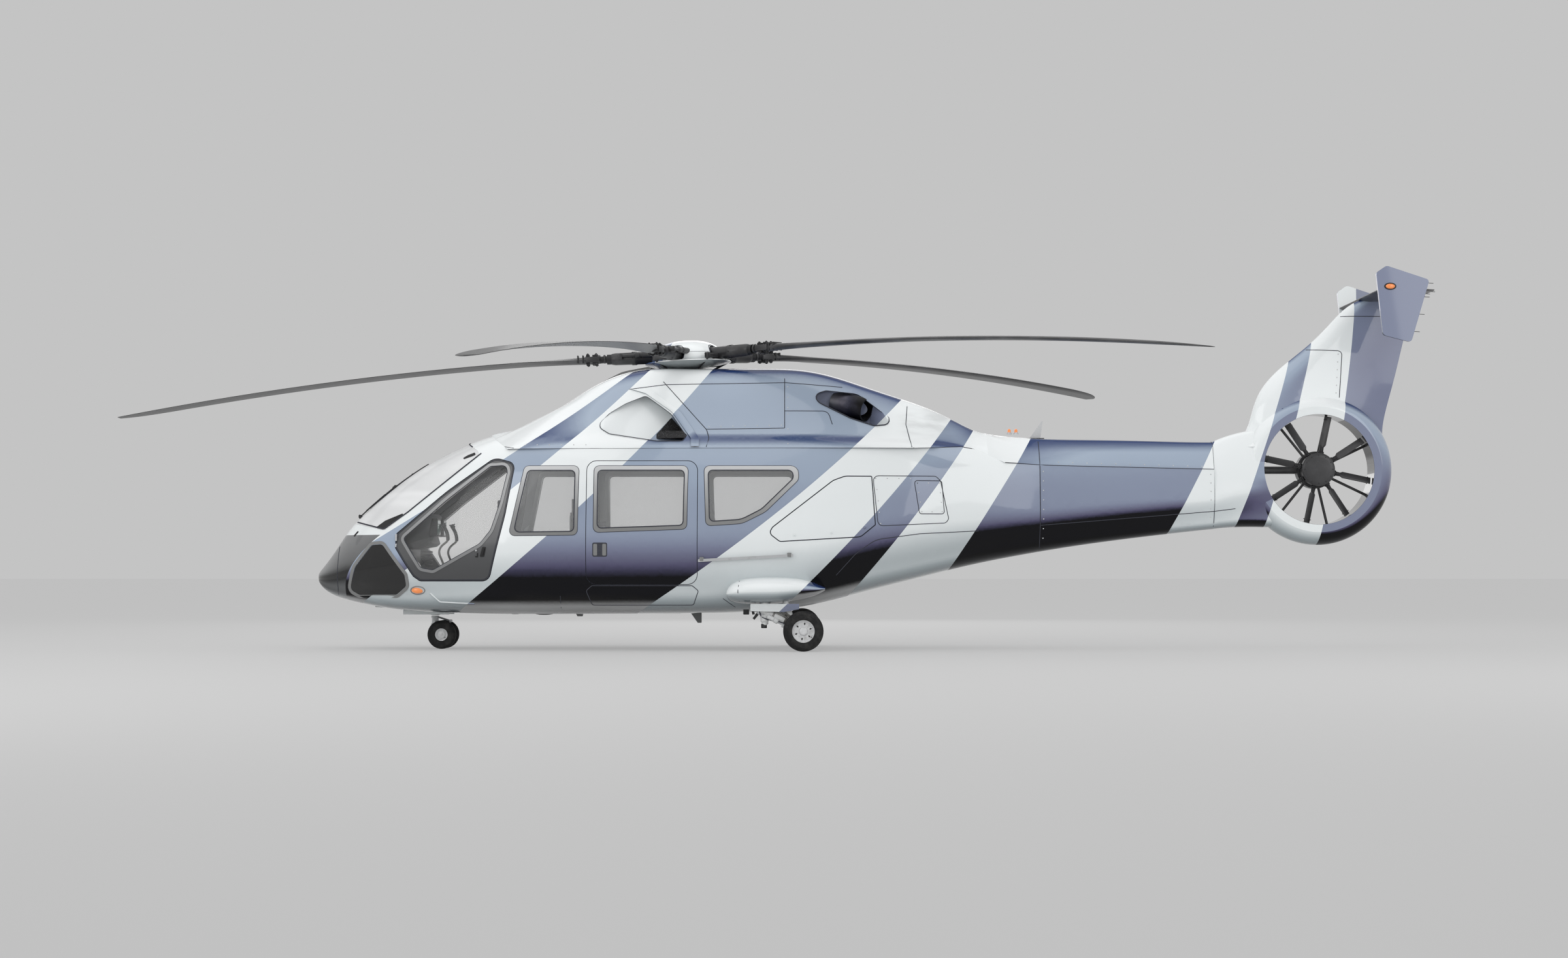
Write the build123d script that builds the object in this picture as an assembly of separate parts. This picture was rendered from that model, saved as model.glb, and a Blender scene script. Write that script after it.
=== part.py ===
from build123d import *
from math import atan2, cos, pi, sin, tan
import os

os.makedirs("parts", exist_ok=True)

# A medium twin-engine helicopter with a five-bladed rotor, a shrouded tail fan
# and wheels. Millimetres; nose towards -X, left side towards -Y, ground at Z = 0.

# Driving dimensions
wall = 60.0
boom_wall = 16.0
cowl_end_x = 2560.0
nose_seam_x = -5040.0
cabin_front_x = -4930.0
bulkhead_x = 1240.0
boom_start_x = 3177.0
boom_end_x = 5241.0
floor_top_z = 590.0
door_gap = 12.0
glass_gap = 1.0
panel_gap = 8.0
post_width = 80.0
keel_half = 330.0

rotor_x = -960.0
hook_x = -1190.0
rotor_z = 3458.0
rotor_tilt = 2.5
rotor_radius = 6700.0
rotor_phase = -0.5
blade_count = 5
hub_radius = 260.0
mast_radius = 85.0
mast_hole_radius = 190.0
sleeve_radius = 60.0
blade_root = 1130.0

fan_x = 6487.0
fan_z = 2113.0
duct_radius = 650.0
lip_radius = 740.0
shroud_radius = 890.0
shroud_half_depth = 185.0
fan_blades = 8
fan_hub_radius = 190.0
fan_phase = 12.0
stator_rods = 7
pod_radius = 220.0

stab_half_span = 1020.0
stab_z = 4140.0
stab_front_x = 7000.0
stab_chord = 650.0
plate_thickness = 36.0

main_axle_x = 400.0
main_track = 2380.0
main_tyre_radius = 230.0
main_tyre_width = 170.0
main_rim_radius = 131.0
nose_axle_x = -3847.0
nose_strut_x = -3945.0
nose_track = 290.0
nose_tyre_radius = 168.0
nose_tyre_width = 130.0
nose_rim_radius = 75.0
bearing_gap = 8.0
axle_reach = 12.0
tow_hole_z = 345.0
tow_hole_radius = 12.0
bolt_hole_radius = 6.5


# Outline helpers
def rounded(points, radii):
    """Closed face through the points with the corners rounded as far as they fit."""
    n = len(points)
    if not isinstance(radii, (list, tuple)):
        radii = [radii] * n
    reach = []
    for i in range(n):
        ax, ay = points[i - 1]
        bx, by = points[i]
        cx, cy = points[(i + 1) % n]
        turn = atan2(cy - by, cx - bx) - atan2(by - ay, bx - ax)
        turn = abs((turn + pi) % (2 * pi) - pi)
        reach.append(tan(min(turn, 3.0) / 2))
    fit = list(radii)
    for i in range(n):
        j = (i + 1) % n
        length = ((points[j][0] - points[i][0]) ** 2 + (points[j][1] - points[i][1]) ** 2) ** 0.5
        need = radii[i] * reach[i] + radii[j] * reach[j]
        if need > 0.9 * length:
            share = 0.9 * length / need
            fit[i] = min(fit[i], radii[i] * share)
            fit[j] = min(fit[j], radii[j] * share)
    return make_face(FilletPolyline(*points, radius=fit, close=True))


def corner_points(points, radii):
    """Start, middle and end of each rounded corner, in order."""
    n = len(points)
    curve = []
    for i in range(n):
        (ax, ay), (bx, by), (cx, cy) = points[i - 1], points[i], points[(i + 1) % n]
        back = ((ax - bx) ** 2 + (ay - by) ** 2) ** 0.5
        ahead = ((cx - bx) ** 2 + (cy - by) ** 2) ** 0.5
        turn = atan2(cy - by, cx - bx) - atan2(by - ay, bx - ax)
        half = abs((turn + pi) % (2 * pi) - pi) / 2
        reach = min(radii[i] * tan(half), 0.44 * back, 0.44 * ahead)
        p = (bx + (ax - bx) / back * reach, by + (ay - by) / back * reach)
        q = (bx + (cx - bx) / ahead * reach, by + (cy - by) / ahead * reach)
        share = 1 / (1 + cos(half))
        m = (bx + ((p[0] + q[0]) / 2 - bx) * share, by + ((p[1] + q[1]) / 2 - by) * share)
        curve += [p, m, q]
    return curve


def smooth_outline(points, radii):
    """Smooth six-sided section, held level at the middle of its floor and its roof."""
    curve = corner_points(points, radii)
    floor_middle, roof_middle = (0, points[0][1]), (0, points[3][1])
    return make_face(Spline(*curve[:3], floor_middle, *curve[3:12], roof_middle, *curve[12:], periodic=True))


def plain_outline(points, radii):
    return make_face(Polyline(*corner_points(points, radii), close=True))


def across(x, face):
    """Face drawn as (Y, Z), placed at x."""
    return Plane((x, 0, 0), x_dir=(0, 1, 0), z_dir=(1, 0, 0)) * face


def side_prism(face, y_low, y_high):
    """Face drawn as (X, Z), carried across from y_low to y_high."""
    return extrude(Plane.XZ.offset(-y_high) * face, amount=y_high - y_low, dir=(0, -1, 0))


def block(x0, x1, y0, y1, z0, z1):
    middle = Pos((x0 + x1) / 2, (y0 + y1) / 2, (z0 + z1) / 2)
    return middle * Box(abs(x1 - x0), abs(y1 - y0), abs(z1 - z0))


def rod(start, end, radius, end_radius=None):
    """Round bar between two points, tapering when end_radius is given."""
    axis = Vector(*end) - Vector(*start)
    plane = Plane(origin=start, z_dir=axis)
    if end_radius is None or end_radius == radius:
        return extrude(plane * Circle(radius), amount=axis.length)
    return loft([plane * Circle(radius), plane.offset(axis.length) * Circle(end_radius)])


def across_disc(x, y0, y1, z, radius):
    return rod((x, y0, z), (x, y1, z), radius)


def mirrored(shape):
    return mirror(shape, about=Plane.XZ)


def both(shape):
    return Compound(children=[shape, mirrored(shape)])


def gather(shapes):
    solids = []
    for shape in shapes:
        solids.extend(shape.solids())
    return Compound(children=solids)


def foil(x0, x1, thick, edge=6.0):
    """Symmetric section as (X, across), rounded in front, thin behind."""
    c = x1 - x0
    shape = [(0.6, 0.4), (0.3, 0.5), (0.05, 0.27)]
    upper = [(x1, edge)] + [(x0 + along * c, half * thick) for along, half in shape]
    lower = [(x, -y) for x, y in reversed(upper)]
    curve = Spline(*(upper + [(x0, 0)] + lower))
    return make_face([curve, Line((x1, -edge), (x1, edge))])


# Lower hull: bottom, waist and top of each cross section
hull_rows = [
    # x, z bottom, z waist, z top, bottom half, waist half, top half, r bottom, r waist, r top
    (-5318, 795, 840, 885, 40, 70, 40, 30, 30, 30),
    (-5235, 700, 850, 985, 140, 235, 120, 90, 90, 90),
    (-5080, 620, 870, 1185, 250, 410, 200, 150, 200, 150),
    (-4850, 560, 905, 1505, 380, 600, 290, 200, 300, 230),
    (-4600, 512, 940, 1715, 490, 745, 370, 230, 400, 300),
    (-4160, 457, 1010, 2065, 650, 910, 500, 280, 600, 380),
    (-3690, 440, 1080, 2315, 770, 1030, 640, 320, 900, 420),
    (-3230, 432, 1150, 2500, 850, 1112, 730, 340, 1200, 420),
    (-2700, 430, 1150, 2560, 890, 1150, 850, 350, 1500, 300),
    (-600, 440, 1150, 2560, 890, 1150, 860, 350, 1500, 300),
    (400, 520, 1200, 2560, 850, 1130, 850, 350, 1500, 300),
    (1000, 655, 1260, 2560, 730, 1030, 800, 350, 1200, 300),
    (1650, 815, 1350, 2560, 560, 860, 690, 330, 900, 250),
    (2350, 983, 1450, 2600, 380, 640, 500, 280, 700, 200),
    (3177, 1142, 1550, 2600, 250, 430, 290, 200, 500, 150),
    (4210, 1293, 1650, 2600, 180, 335, 200, 150, 400, 120),
    (5300, 1416, 1760, 2560, 140, 255, 150, 120, 300, 100),
]

# Upper body: engine cowling running into the drive shaft cover
upper_rows = [
    # x, z base, z crease, z top, base half, crease half, top half, r crease, r top
    (-3400, 2100, 2250, 2400, 900, 800, 460, 100, 200),
    (-3060, 2100, 2310, 2530, 960, 840, 520, 120, 230),
    (-2700, 2250, 2420, 2675, 980, 870, 500, 150, 230),
    (-2300, 2250, 2480, 2915, 980, 800, 470, 150, 230),
    (-1900, 2250, 2500, 3155, 980, 780, 450, 150, 220),
    (-1500, 2250, 2500, 3278, 980, 780, 450, 150, 200),
    (-600, 2250, 2500, 3290, 980, 780, 450, 150, 200),
    (280, 2250, 2500, 3285, 980, 780, 440, 150, 200),
    (960, 2250, 2480, 3130, 950, 740, 400, 150, 200),
    (1650, 2250, 2460, 2905, 860, 640, 330, 150, 180),
    (2120, 2220, 2420, 2719, 720, 510, 270, 150, 150),
    (2520, 2080, 2350, 2545, 590, 445, 200, 120, 120),
    (2900, 1900, 2080, 2484, 500, 474, 145, 100, 100),
    (3600, 1850, 2050, 2470, 370, 353, 120, 100, 90),
    (4600, 1850, 2030, 2450, 290, 281, 105, 80, 80),
    (5300, 1850, 2010, 2438, 240, 233, 95, 70, 70),
]

# Side line between lower hull and upper body
seam = [
    (-3500, 2690),
    (-3012, 2322),
    (1678, 2337),
    (2248, 2360),
    (2420, 2330),
    (2760, 2178),
    (3243, 2154),
    (5600, 2106),
]


def row_at(rows, x):
    """Row at x on smooth curves through the design rows."""
    last = len(rows) - 1
    k = 0
    while k < last - 1 and x > rows[k + 1][0]:
        k += 1
    low, high = rows[k], rows[k + 1]
    span = high[0] - low[0]
    t = (x - low[0]) / span

    def slope(i, c):
        if i in (0, last):
            j = min(i, last - 1)
            return (rows[j + 1][c] - rows[j][c]) / (rows[j + 1][0] - rows[j][0])
        before = (rows[i][c] - rows[i - 1][c]) / (rows[i][0] - rows[i - 1][0])
        after = (rows[i + 1][c] - rows[i][c]) / (rows[i + 1][0] - rows[i][0])
        return 0.0 if before * after <= 0 else 2 * before * after / (before + after)

    row = [x]
    for c in range(1, len(low)):
        rise = high[c] - low[c]
        m0, m1 = slope(k, c) * span, slope(k + 1, c) * span
        row.append(low[c] + m0 * t + (3 * rise - 2 * m0 - m1) * t ** 2 + (m0 + m1 - 2 * rise) * t ** 3)
    return tuple(row)


def evenly(start, end, count):
    return [start + (end - start) * k / (count - 1) for k in range(count)]


def seam_z(x):
    for (x0, z0), (x1, z1) in zip(seam, seam[1:]):
        if x <= x1:
            return z0 + (z1 - z0) * (x - x0) / (x1 - x0)
    return seam[-1][1]


def hull_face(x, rows=hull_rows):
    x, zb, zw, zt, wb, w, wt, rb, rw, rt = row_at(rows, x)
    points = [(-wb, zb), (wb, zb), (w, zw), (wt, zt), (-wt, zt), (-w, zw)]
    return across(x, smooth_outline(points, [rb, rb, rw, rt, rt, rw]))


def space_face(x, inset):
    """Straight-sided section inside the hull wall, under the seam."""
    x, zb, zw, zt, wb, w, wt, rb, rw, rt = row_at(hull_rows, x)
    top = min(zt, seam_z(x)) - inset
    side = w + (wt - w) * (top - zw) / (zt - zw) - inset
    if top < zt - inset:
        rt = 2 * inset
    else:
        side = wt - 0.75 * inset
    wb, w, zb = wb - 0.75 * inset, w - inset, zb + inset
    points = [(-wb, zb), (wb, zb), (w, zw), (side, top), (-side, top), (-w, zw)]
    return across(x, plain_outline(points, [rb, rb, rw, rt, rt, rw]))


def upper_face(x):
    x, zb, zc, zt, wb, wc, wt, rc, rt = row_at(upper_rows, x)
    points = [(-wb, zb), (wb, zb), (wc, zc), (wt, zt), (-wt, zt), (-wc, zc)]
    return across(x, smooth_outline(points, [60, 60, rc, rt, rt, rc]))


# Fuselage shells
above_seam_face = make_face(Polyline(*seam, (5600, 3700), (-3500, 3700), close=True))
above_seam = side_prism(above_seam_face, -1500, 1500)
hull_stations = [
    -5318, -5250, -5120, -4930, -4680, -4370, -4000, -3560, -3050, -2450,
    -1750, -1000, -250, 450, 1100, 1700, 2250, 2750, boom_start_x, 3700,
]
behind_joint = block(boom_start_x, 8000, -1500, 1500, 0, 4000)
hull_outer = loft([hull_face(x) for x in hull_stations]) - [above_seam, behind_joint]
cabin_stations = [cabin_front_x, -4600, -4160, -3560, -2900, 400, bulkhead_x]
cabin_space = loft([space_face(x, wall) for x in cabin_stations], ruled=True)
rear_space = loft([space_face(x, wall) for x in (bulkhead_x + wall, 2200, boom_start_x - wall)], ruled=True)
skin = hull_outer - [cabin_space, rear_space]
nose_box = block(-6000, nose_seam_x, -1500, 1500, 0, 3000)
nose_cone = hull_outer & nose_box

# Side openings, each outline as (X, Z) with its corner radii
pilot_door_line = [
    (-4308, 1180), (-4308, 1345), (-3700, 1845), (-3154, 2225),
    (-2935, 2165), (-2915, 2095), (-3010, 1545), (-3195, 795), (-4010, 795), (-4090, 850),
]
pilot_door_radii = [30, 60, 2500, 160, 110, 110, 1500, 110, 60, 60]
pilot_glass_line = [
    (-4215, 1290), (-3700, 1735), (-3200, 2120), (-3010, 2130), (-2995, 2050),
    (-3075, 1690), (-3175, 1380), (-3300, 1225), (-3850, 925), (-3990, 950),
]
pilot_glass_radii = [40, 2500, 60, 60, 60, 800, 200, 200, 60, 60]
front_window_line = [(-2799, 2123), (-2170, 2123), (-2180, 1324), (-2971, 1317), (-2948, 1429)]
front_glass_line = [(-2760, 2070), (-2216, 2070), (-2222, 1368), (-2905, 1360), (-2895, 1440)]
slide_door_line = [(-2087, 2185), (-807, 2185), (-807, 757), (-2087, 757)]
slide_frame_line = [(-2000, 2123), (-918, 2123), (-930, 1392), (-2000, 1354)]
slide_glass_line = [(-1955, 2072), (-962, 2072), (-974, 1438), (-1955, 1404)]
rear_frame_line = [(-738, 2123), (345, 2123), (350, 1960), (-30, 1590), (-300, 1455), (-716, 1429)]
rear_glass_line = [(-690, 2072), (285, 2072), (285, 1975), (-75, 1625), (-310, 1505), (-672, 1482)]
windshield_line = [
    (-4905, 1478), (-4450, 1385), (-4165, 1590), (-3310, 2268),
    (-3494, 2391), (-3560, 2700), (-5100, 2300),
]
chin_line = [
    (-4870, 700), (-4800, 960), (-4600, 1215), (-4470, 1225),
    (-4190, 870), (-4175, 740), (-4300, 640), (-4760, 640),
]
baggage_line = [
    (0, 1345), (45, 1420), (742, 1960), (880, 2010),
    (1195, 2010), (1235, 1443), (1060, 1300), (130, 1245),
]
baggage_radii = [60, 60, 200, 200, 20, 20, 120, 60]


def opening(points, radii, grow=0.0, low=-1500, high=1500):
    face = rounded(points, radii)
    if grow:
        face = offset(face, amount=grow)
    return side_prism(face, low, high)


def side_cuts(points, radii):
    """The same opening cut through the left wall and through the right wall."""
    left = opening(points, radii, 0, -1500, -60)
    return [left, mirrored(left)]


pilot_cuts = side_cuts(pilot_door_line, pilot_door_radii)
pilot_leaf = opening(pilot_door_line, pilot_door_radii, -door_gap, -1500, -60)
pilot_hole = opening(pilot_glass_line, pilot_glass_radii, 0, -1500, -60)
pilot_pane = opening(pilot_glass_line, pilot_glass_radii, -glass_gap, -1500, -60)
slide_cuts = side_cuts(slide_door_line, 120)
slide_leaf = opening(slide_door_line, 120, -panel_gap, -1500, -60)
baggage_cuts = side_cuts(baggage_line, baggage_radii)
baggage_leaf = opening(baggage_line, baggage_radii, -door_gap, -1500, -60)
windows = [
    # frame outline, its radii, glass outline, its radii
    (front_window_line, [60, 60, 60, 60, 200], front_glass_line, [50, 50, 50, 50, 200]),
    (rear_frame_line, [60, 90, 90, 300, 300, 60], rear_glass_line, [50, 60, 60, 300, 300, 50]),
    (slide_frame_line, [60] * 4, slide_glass_line, [50] * 4),
]
frame_cuts = side_cuts(*windows[0][:2]) + side_cuts(*windows[1][:2])


def middle_slab(half_width):
    """Slab along the middle of the nose."""
    return block(-6000, -3000, -half_width, half_width, 0, 3000)


post = middle_slab(post_width / 2)
keel = middle_slab(keel_half)
windshield_radii = [40, 60, 60, 60, 30, 30, 30]
chin_radii = [60, 120, 60, 60, 60, 60, 60, 60]
windshield_cut = opening(windshield_line, windshield_radii) - post
chin_cut = opening(chin_line, chin_radii) - keel
windshield_pane = opening(windshield_line, windshield_radii, -glass_gap)
windshield_pane = windshield_pane - middle_slab(post_width / 2 + glass_gap)
chin_pane = opening(chin_line, chin_radii, -glass_gap) - middle_slab(keel_half + glass_gap)

hook_bolts = []
for dx in (-110, 110):
    for dy in (-80, 80):
        hook_bolts.append(Pos(hook_x + dx, dy, 440) * Cylinder(bolt_hole_radius, 80))
door_cuts = pilot_cuts + slide_cuts + baggage_cuts
fuselage = skin - ([nose_box, windshield_cut, chin_cut] + door_cuts + frame_cuts + hook_bolts)
pilot_door = (skin & pilot_leaf) - pilot_hole
pilot_glass = skin & pilot_pane
slide_hole = opening(slide_frame_line, 60, 0, -1500, -60)
slide_door = (skin & slide_leaf) - slide_hole
baggage_door = skin & baggage_leaf
frames, panes = [], []
for line, radii, glass, inner in windows:
    hole = opening(glass, inner, 0, -1500, -60)
    frames.append((skin & opening(line, radii, 0, -1500, -60)) - hole)
    panes.append(skin & opening(glass, inner, -glass_gap, -1500, -60))

export_step(fuselage, "parts/fuselage.step")
export_step(nose_cone, "parts/nose_cone.step")
for side, turn in (("left", lambda s: s), ("right", mirrored)):
    export_step(turn(pilot_door), f"parts/pilot_door_{side}.step")
    export_step(turn(pilot_glass), f"parts/pilot_glass_{side}.step")
    export_step(turn(slide_door), f"parts/sliding_door_{side}.step")
    export_step(turn(baggage_door), f"parts/baggage_door_{side}.step")
export_step(gather(frames + [mirrored(f) for f in frames]), "parts/window_frames.step")
export_step(gather(panes + [mirrored(p) for p in panes]), "parts/cabin_glass.step")
export_step(gather([skin & windshield_pane, skin & chin_pane]), "parts/windshield_glass.step")

# Engine cowling and drive shaft cover
cowl_outer = loft([upper_face(x) for x in evenly(-3400, cowl_end_x, 13)]) & above_seam
cover_outer = loft([upper_face(x) for x in evenly(cowl_end_x, boom_end_x, 5)]) & above_seam
engine_bay_rows = [
    # x, z bottom, z top, bottom half, top half
    (-2900, 2380, 2470, 470, 330),
    (-2300, 2335, 2830, 470, 320),
    (-1500, 2335, 3220, 470, 320),
    (280, 2338, 3210, 470, 300),
    (1650, 2345, 2840, 380, 200),
    (2400, 2380, 2540, 300, 120),
]
cover_space_rows = [
    (2620, 2240, 2470, 300, 120),
    (3600, 2165, 2435, 230, 85),
    (boom_end_x - 40, 2132, 2410, 150, 65),
]


def plain_space(rows):
    """Straight-sided hollow through trapezium sections."""
    faces = []
    for x, z0, z1, w0, w1 in rows:
        faces.append(across(x, make_face(Polyline((-w0, z0), (w0, z0), (w1, z1), (-w1, z1), close=True))))
    return loft(faces, ruled=True)


def plan_prism(points, low, high):
    """Outline drawn as (X, Y), carried up from low to high."""
    return extrude(Pos(0, 0, low) * make_face(Polyline(*points, close=True)), amount=high - low)


intake_line = [
    (-1985, 2590), (-1840, 2750), (-1662, 2860), (-1429, 2955),
    (-1128, 2735), (-905, 2412), (-1280, 2412), (-1840, 2500),
]
intake_radii = [60, 200, 200, 60, 300, 60, 200, 60]
intake_ramp_rows = [
    # x, half width of the ramp at z 2300, at z 3100
    (-2000, 880, 540),
    (-890, 600, 290),
]
exhaust_line = [(500, 2960), (680, 3020), (1040, 2985), (1500, 2630), (1230, 2600), (950, 2690), (600, 2865)]
exhaust_radii = [60, 120, 200, 60, 120, 200, 100]
exhaust_plan = [(450, -1500), (450, -420), (900, -400), (1180, -430), (1600, -700), (1600, -1500)]


def beside_ramp(x, low, high):
    """Section of the space outside the intake ramp."""
    corners = [(-1500, 2300), (-low, 2300), (-high, 3100), (-1500, 3100)]
    return across(x, make_face(Polyline(*corners, close=True)))


intake_pocket = side_prism(rounded(intake_line, intake_radii), -1500, -200)
intake_pocket = intake_pocket & loft([beside_ramp(*row) for row in intake_ramp_rows], ruled=True)
exhaust_pocket = side_prism(rounded(exhaust_line, exhaust_radii), -1500, -300)
exhaust_pocket = exhaust_pocket & plan_prism(exhaust_plan, 2500, 3100)
mast_hole = Pos(rotor_x, 0, 3250) * Cylinder(mast_hole_radius, 500)
pockets = [intake_pocket, mirrored(intake_pocket), exhaust_pocket, mirrored(exhaust_pocket)]
engine_bay = plain_space(engine_bay_rows)
cowling = cowl_outer - ([engine_bay, mast_hole] + pockets)
shaft_cover = cover_outer - plain_space(cover_space_rows)
nozzle = rod((780, -330, 2890), (1140, -560, 2790), 130, 140)
nozzle = nozzle - rod((800, -343, 2885), (1150, -567, 2787), 112, 122)
nozzle = nozzle & exhaust_pocket
export_step(cowling, "parts/cowling.step")
export_step(shaft_cover, "parts/shaft_cover.step")
export_step(both(nozzle), "parts/exhaust_nozzles.step")

# Tail boom
ahead_of_joint = block(0, boom_start_x, -1500, 1500, 0, 4000)
boom_outer = loft([hull_face(x) for x in evenly(2750, boom_end_x, 5)]) - [above_seam, ahead_of_joint]
boom_stations = (boom_start_x + 20, 4209, boom_end_x - 20)
boom_space = loft([space_face(x, boom_wall + 8) for x in boom_stations], ruled=True)
tail_boom = boom_outer - boom_space
export_step(tail_boom, "parts/tail_boom.step")


# Fin, shroud and the body between them and the boom
tail_rows = [
    # x, z bottom, z waist, z top, bottom half, waist half, top half, r bottom, r waist, r top
    (5241, 1409, 1757, 2438, 142, 258, 98, 120, 300, 70),
    (5600, 1436, 1850, 2560, 138, 240, 92, 120, 300, 70),
    (6000, 1430, 2000, 2620, 130, 215, 85, 110, 300, 70),
    (6487, 1420, 2113, 2700, 120, 190, 80, 100, 300, 70),
]
fin_rows = [
    # z, x front, x back, thickness
    (2380, 5400, 7318, 330),
    (2540, 5590, 7262, 300),
    (2700, 5700, 7290, 280),
    (3010, 5818, 7371, 240),
    (3187, 5925, 7417, 225),
    (3435, 6210, 7481, 200),
    (3659, 6475, 7539, 180),
    (3917, 6745, 7604, 160),
    (4140, 7040, 7656, 130),
]


def ring_profile():
    r0, r1, r2 = duct_radius - 20, lip_radius, shroud_radius
    d = shroud_half_depth
    outer_curve = ThreePointArc((r1, -d), (r2, 0), (r1, d))
    return make_face([Line((r0, -d), (r1, -d)), outer_curve, Line((r1, d), (r0, d)), Line((r0, d), (r0, -d))])


def tail_body():
    body = loft([hull_face(r[0], tail_rows) for r in tail_rows])
    fin_sections = [row_at(fin_rows, z) for z in evenly(fin_rows[0][0], fin_rows[-1][0], 6)]
    fin = loft([Pos(0, 0, z) * foil(x0, x1, t) for z, x0, x1, t in fin_sections])
    ring = Pos(fan_x, 0, fan_z) * revolve(Plane.XY * ring_profile(), Axis.Y)
    return body + ring + fin


duct = across_disc(fan_x, -400, 400, fan_z, duct_radius)
stab_face = Pos(0, stab_z) * foil(stab_front_x, stab_front_x + stab_chord, 64)
stabilizer = side_prism(stab_face, -stab_half_span, stab_half_span)
tail_fin = tail_body() - [duct, stabilizer]
export_step(tail_fin, "parts/tail_fin.step")
export_step(stabilizer, "parts/stabilizer.step")
plate_line = [(6974, 4336), (7095, 4418), (7586, 4254), (7371, 3535), (7048, 3620)]
plate_face = rounded(plate_line, [50, 60, 40, 40, 50])
end_plate = side_prism(plate_face, -stab_half_span - plate_thickness, -stab_half_span)
export_step(both(end_plate), "parts/end_plates.step")

# Tail fan: fixed pod and rods on the right side, rotor on the left
pod = across_disc(fan_x, 40, shroud_half_depth, fan_z, pod_radius)
rods = []
for k in range(stator_rods):
    turn = 2 * pi * k / stator_rods + pi
    end = (fan_x + duct_radius * cos(turn), 110, fan_z + duct_radius * sin(turn))
    start = (fan_x + (pod_radius - 12) * cos(turn), 110, fan_z + (pod_radius - 12) * sin(turn))
    rods.append(rod(start, end, 45 if k == 0 else 16) - pod)
trim_duct = across_disc(fan_x, -400, 400, fan_z, duct_radius - 0.5)
rods = [r & trim_duct for r in rods]
export_step(gather([pod] + rods), "parts/fan_stator.step")

fan_hub = across_disc(fan_x, -150, 30, fan_z, fan_hub_radius)
fan_rows = [
    # radius, chord, thickness
    (170, 44, 22),
    (268, 44, 22),
    (300, 86, 20),
    (duct_radius - 10, 86, 14),
]
fan_sections = [across(r, Rot(0, 0, 62) * foil(-0.5 * c, 0.5 * c, t, 2)) for r, c, t in fan_rows]
fan_blade = loft(fan_sections, ruled=True)
blades = []
for k in range(fan_blades):
    turned = Pos(fan_x, -70, fan_z) * Rot(0, fan_phase + 360 * k / fan_blades, 0) * fan_blade
    blades.append(turned - fan_hub)
export_step(gather([fan_hub] + blades), "parts/fan_rotor.step")

# Main rotor, built level about its own axis, then tilted forward
place = Pos(rotor_x, 0, rotor_z) * Rot(0, -rotor_tilt, 0)
angles = [-(rotor_phase + 36 + 360 * k / blade_count) for k in range(blade_count)]


def droop(r):
    return 0.0175 * r - 1.263e-5 * r * r


blade_rows = [
    # radius, leading edge, trailing edge, thickness
    (blade_root, -62, 62, 96),
    (1420, -100, 130, 76),
    (1960, -120, 300, 56),
    (3000, -120, 300, 50),
    (5000, -120, 300, 46),
    (6100, -120, 300, 38),
    (6450, -60, 300, 28),
    (rotor_radius, 130, 300, 14),
]


def blade_stretch(start, end, count):
    """Part of a blade through evenly spaced sections."""
    sections = [row_at(blade_rows, r) for r in evenly(start, end, count)]
    return loft([Pos(0, 0, droop(r)) * across(r, foil(y0, y1, t, 3)) for r, y0, y1, t in sections])


blade = blade_stretch(blade_root, 1960, 4) + blade_stretch(1960, 6100, 4)
blade = blade + blade_stretch(6100, rotor_radius, 4)
export_step(gather([place * Rot(0, 0, a) * blade for a in angles]), "parts/main_blades.step")

hub = Cylinder(hub_radius, 130) + Pos(0, 0, 90) * Cylinder(110, 60)
hub = hub + Pos(0, 0, -215) * Cylinder(mast_radius, 300)
swash = Pos(0, 0, -215) * Cylinder(150, 50)
sleeves, clamps = [], []
for a in angles:
    arm = rod((hub_radius - 20, 0, 0), (960, 0, droop(960)), sleeve_radius)
    neck = rod((950, 0, droop(950)), (1075, 0, droop(1075)), 42)
    clamp = Pos(1102, 0, droop(1102)) * Box(56, 150, 120)
    sleeves.append(Rot(0, 0, a) * ((arm + neck + clamp) - Cylinder(hub_radius, 130)))
export_step(place * (hub + swash), "parts/rotor_hub.step")
export_step(gather([place * s for s in sleeves]), "parts/blade_sleeves.step")
cap_line = Spline((0, 182), (180, 172), (320, 122), (410, 40), (430, -60))
cap_inner = Spline((405, -60), (386, 30), (300, 98), (170, 144), (0, 154))
cap_face = make_face([cap_line, Line((430, -60), (405, -60)), cap_inner, Line((0, 154), (0, 182))])
cap = revolve(Plane.XZ * cap_face, Axis.Z)
for a in angles:
    cap = cap - Rot(0, 0, a) * rod((300, 0, 0), (600, 0, 8), 100)
export_step(place * cap, "parts/rotor_cap.step")

# Engines and gearbox as plain blocks on the deck
gearbox = block(rotor_x - 330, rotor_x + 330, -300, 300, 2300, 3060) & engine_bay
engine = block(-260, 1080, -400, -60, 2300, 2680) & engine_bay
export_step(gearbox, "parts/main_gearbox.step")
export_step(both(engine), "parts/engines.step")

# Sponsons and main gear legs
sponson_rows = [
    # x, z centre, half height, reach outwards
    (-480, 655, 20, 150),
    (-440, 665, 90, 215),
    (-330, 680, 135, 262),
    (-120, 690, 156, 292),
    (200, 700, 145, 270),
    (450, 708, 100, 205),
    (650, 712, 20, 110),
]
sponson = loft([Pos(x, -950, z) * (Plane.YZ * Ellipse(y, h)) for x, z, h, y in sponson_rows])
export_step(both(sponson) - hull_outer, "parts/sponsons.step")

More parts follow.
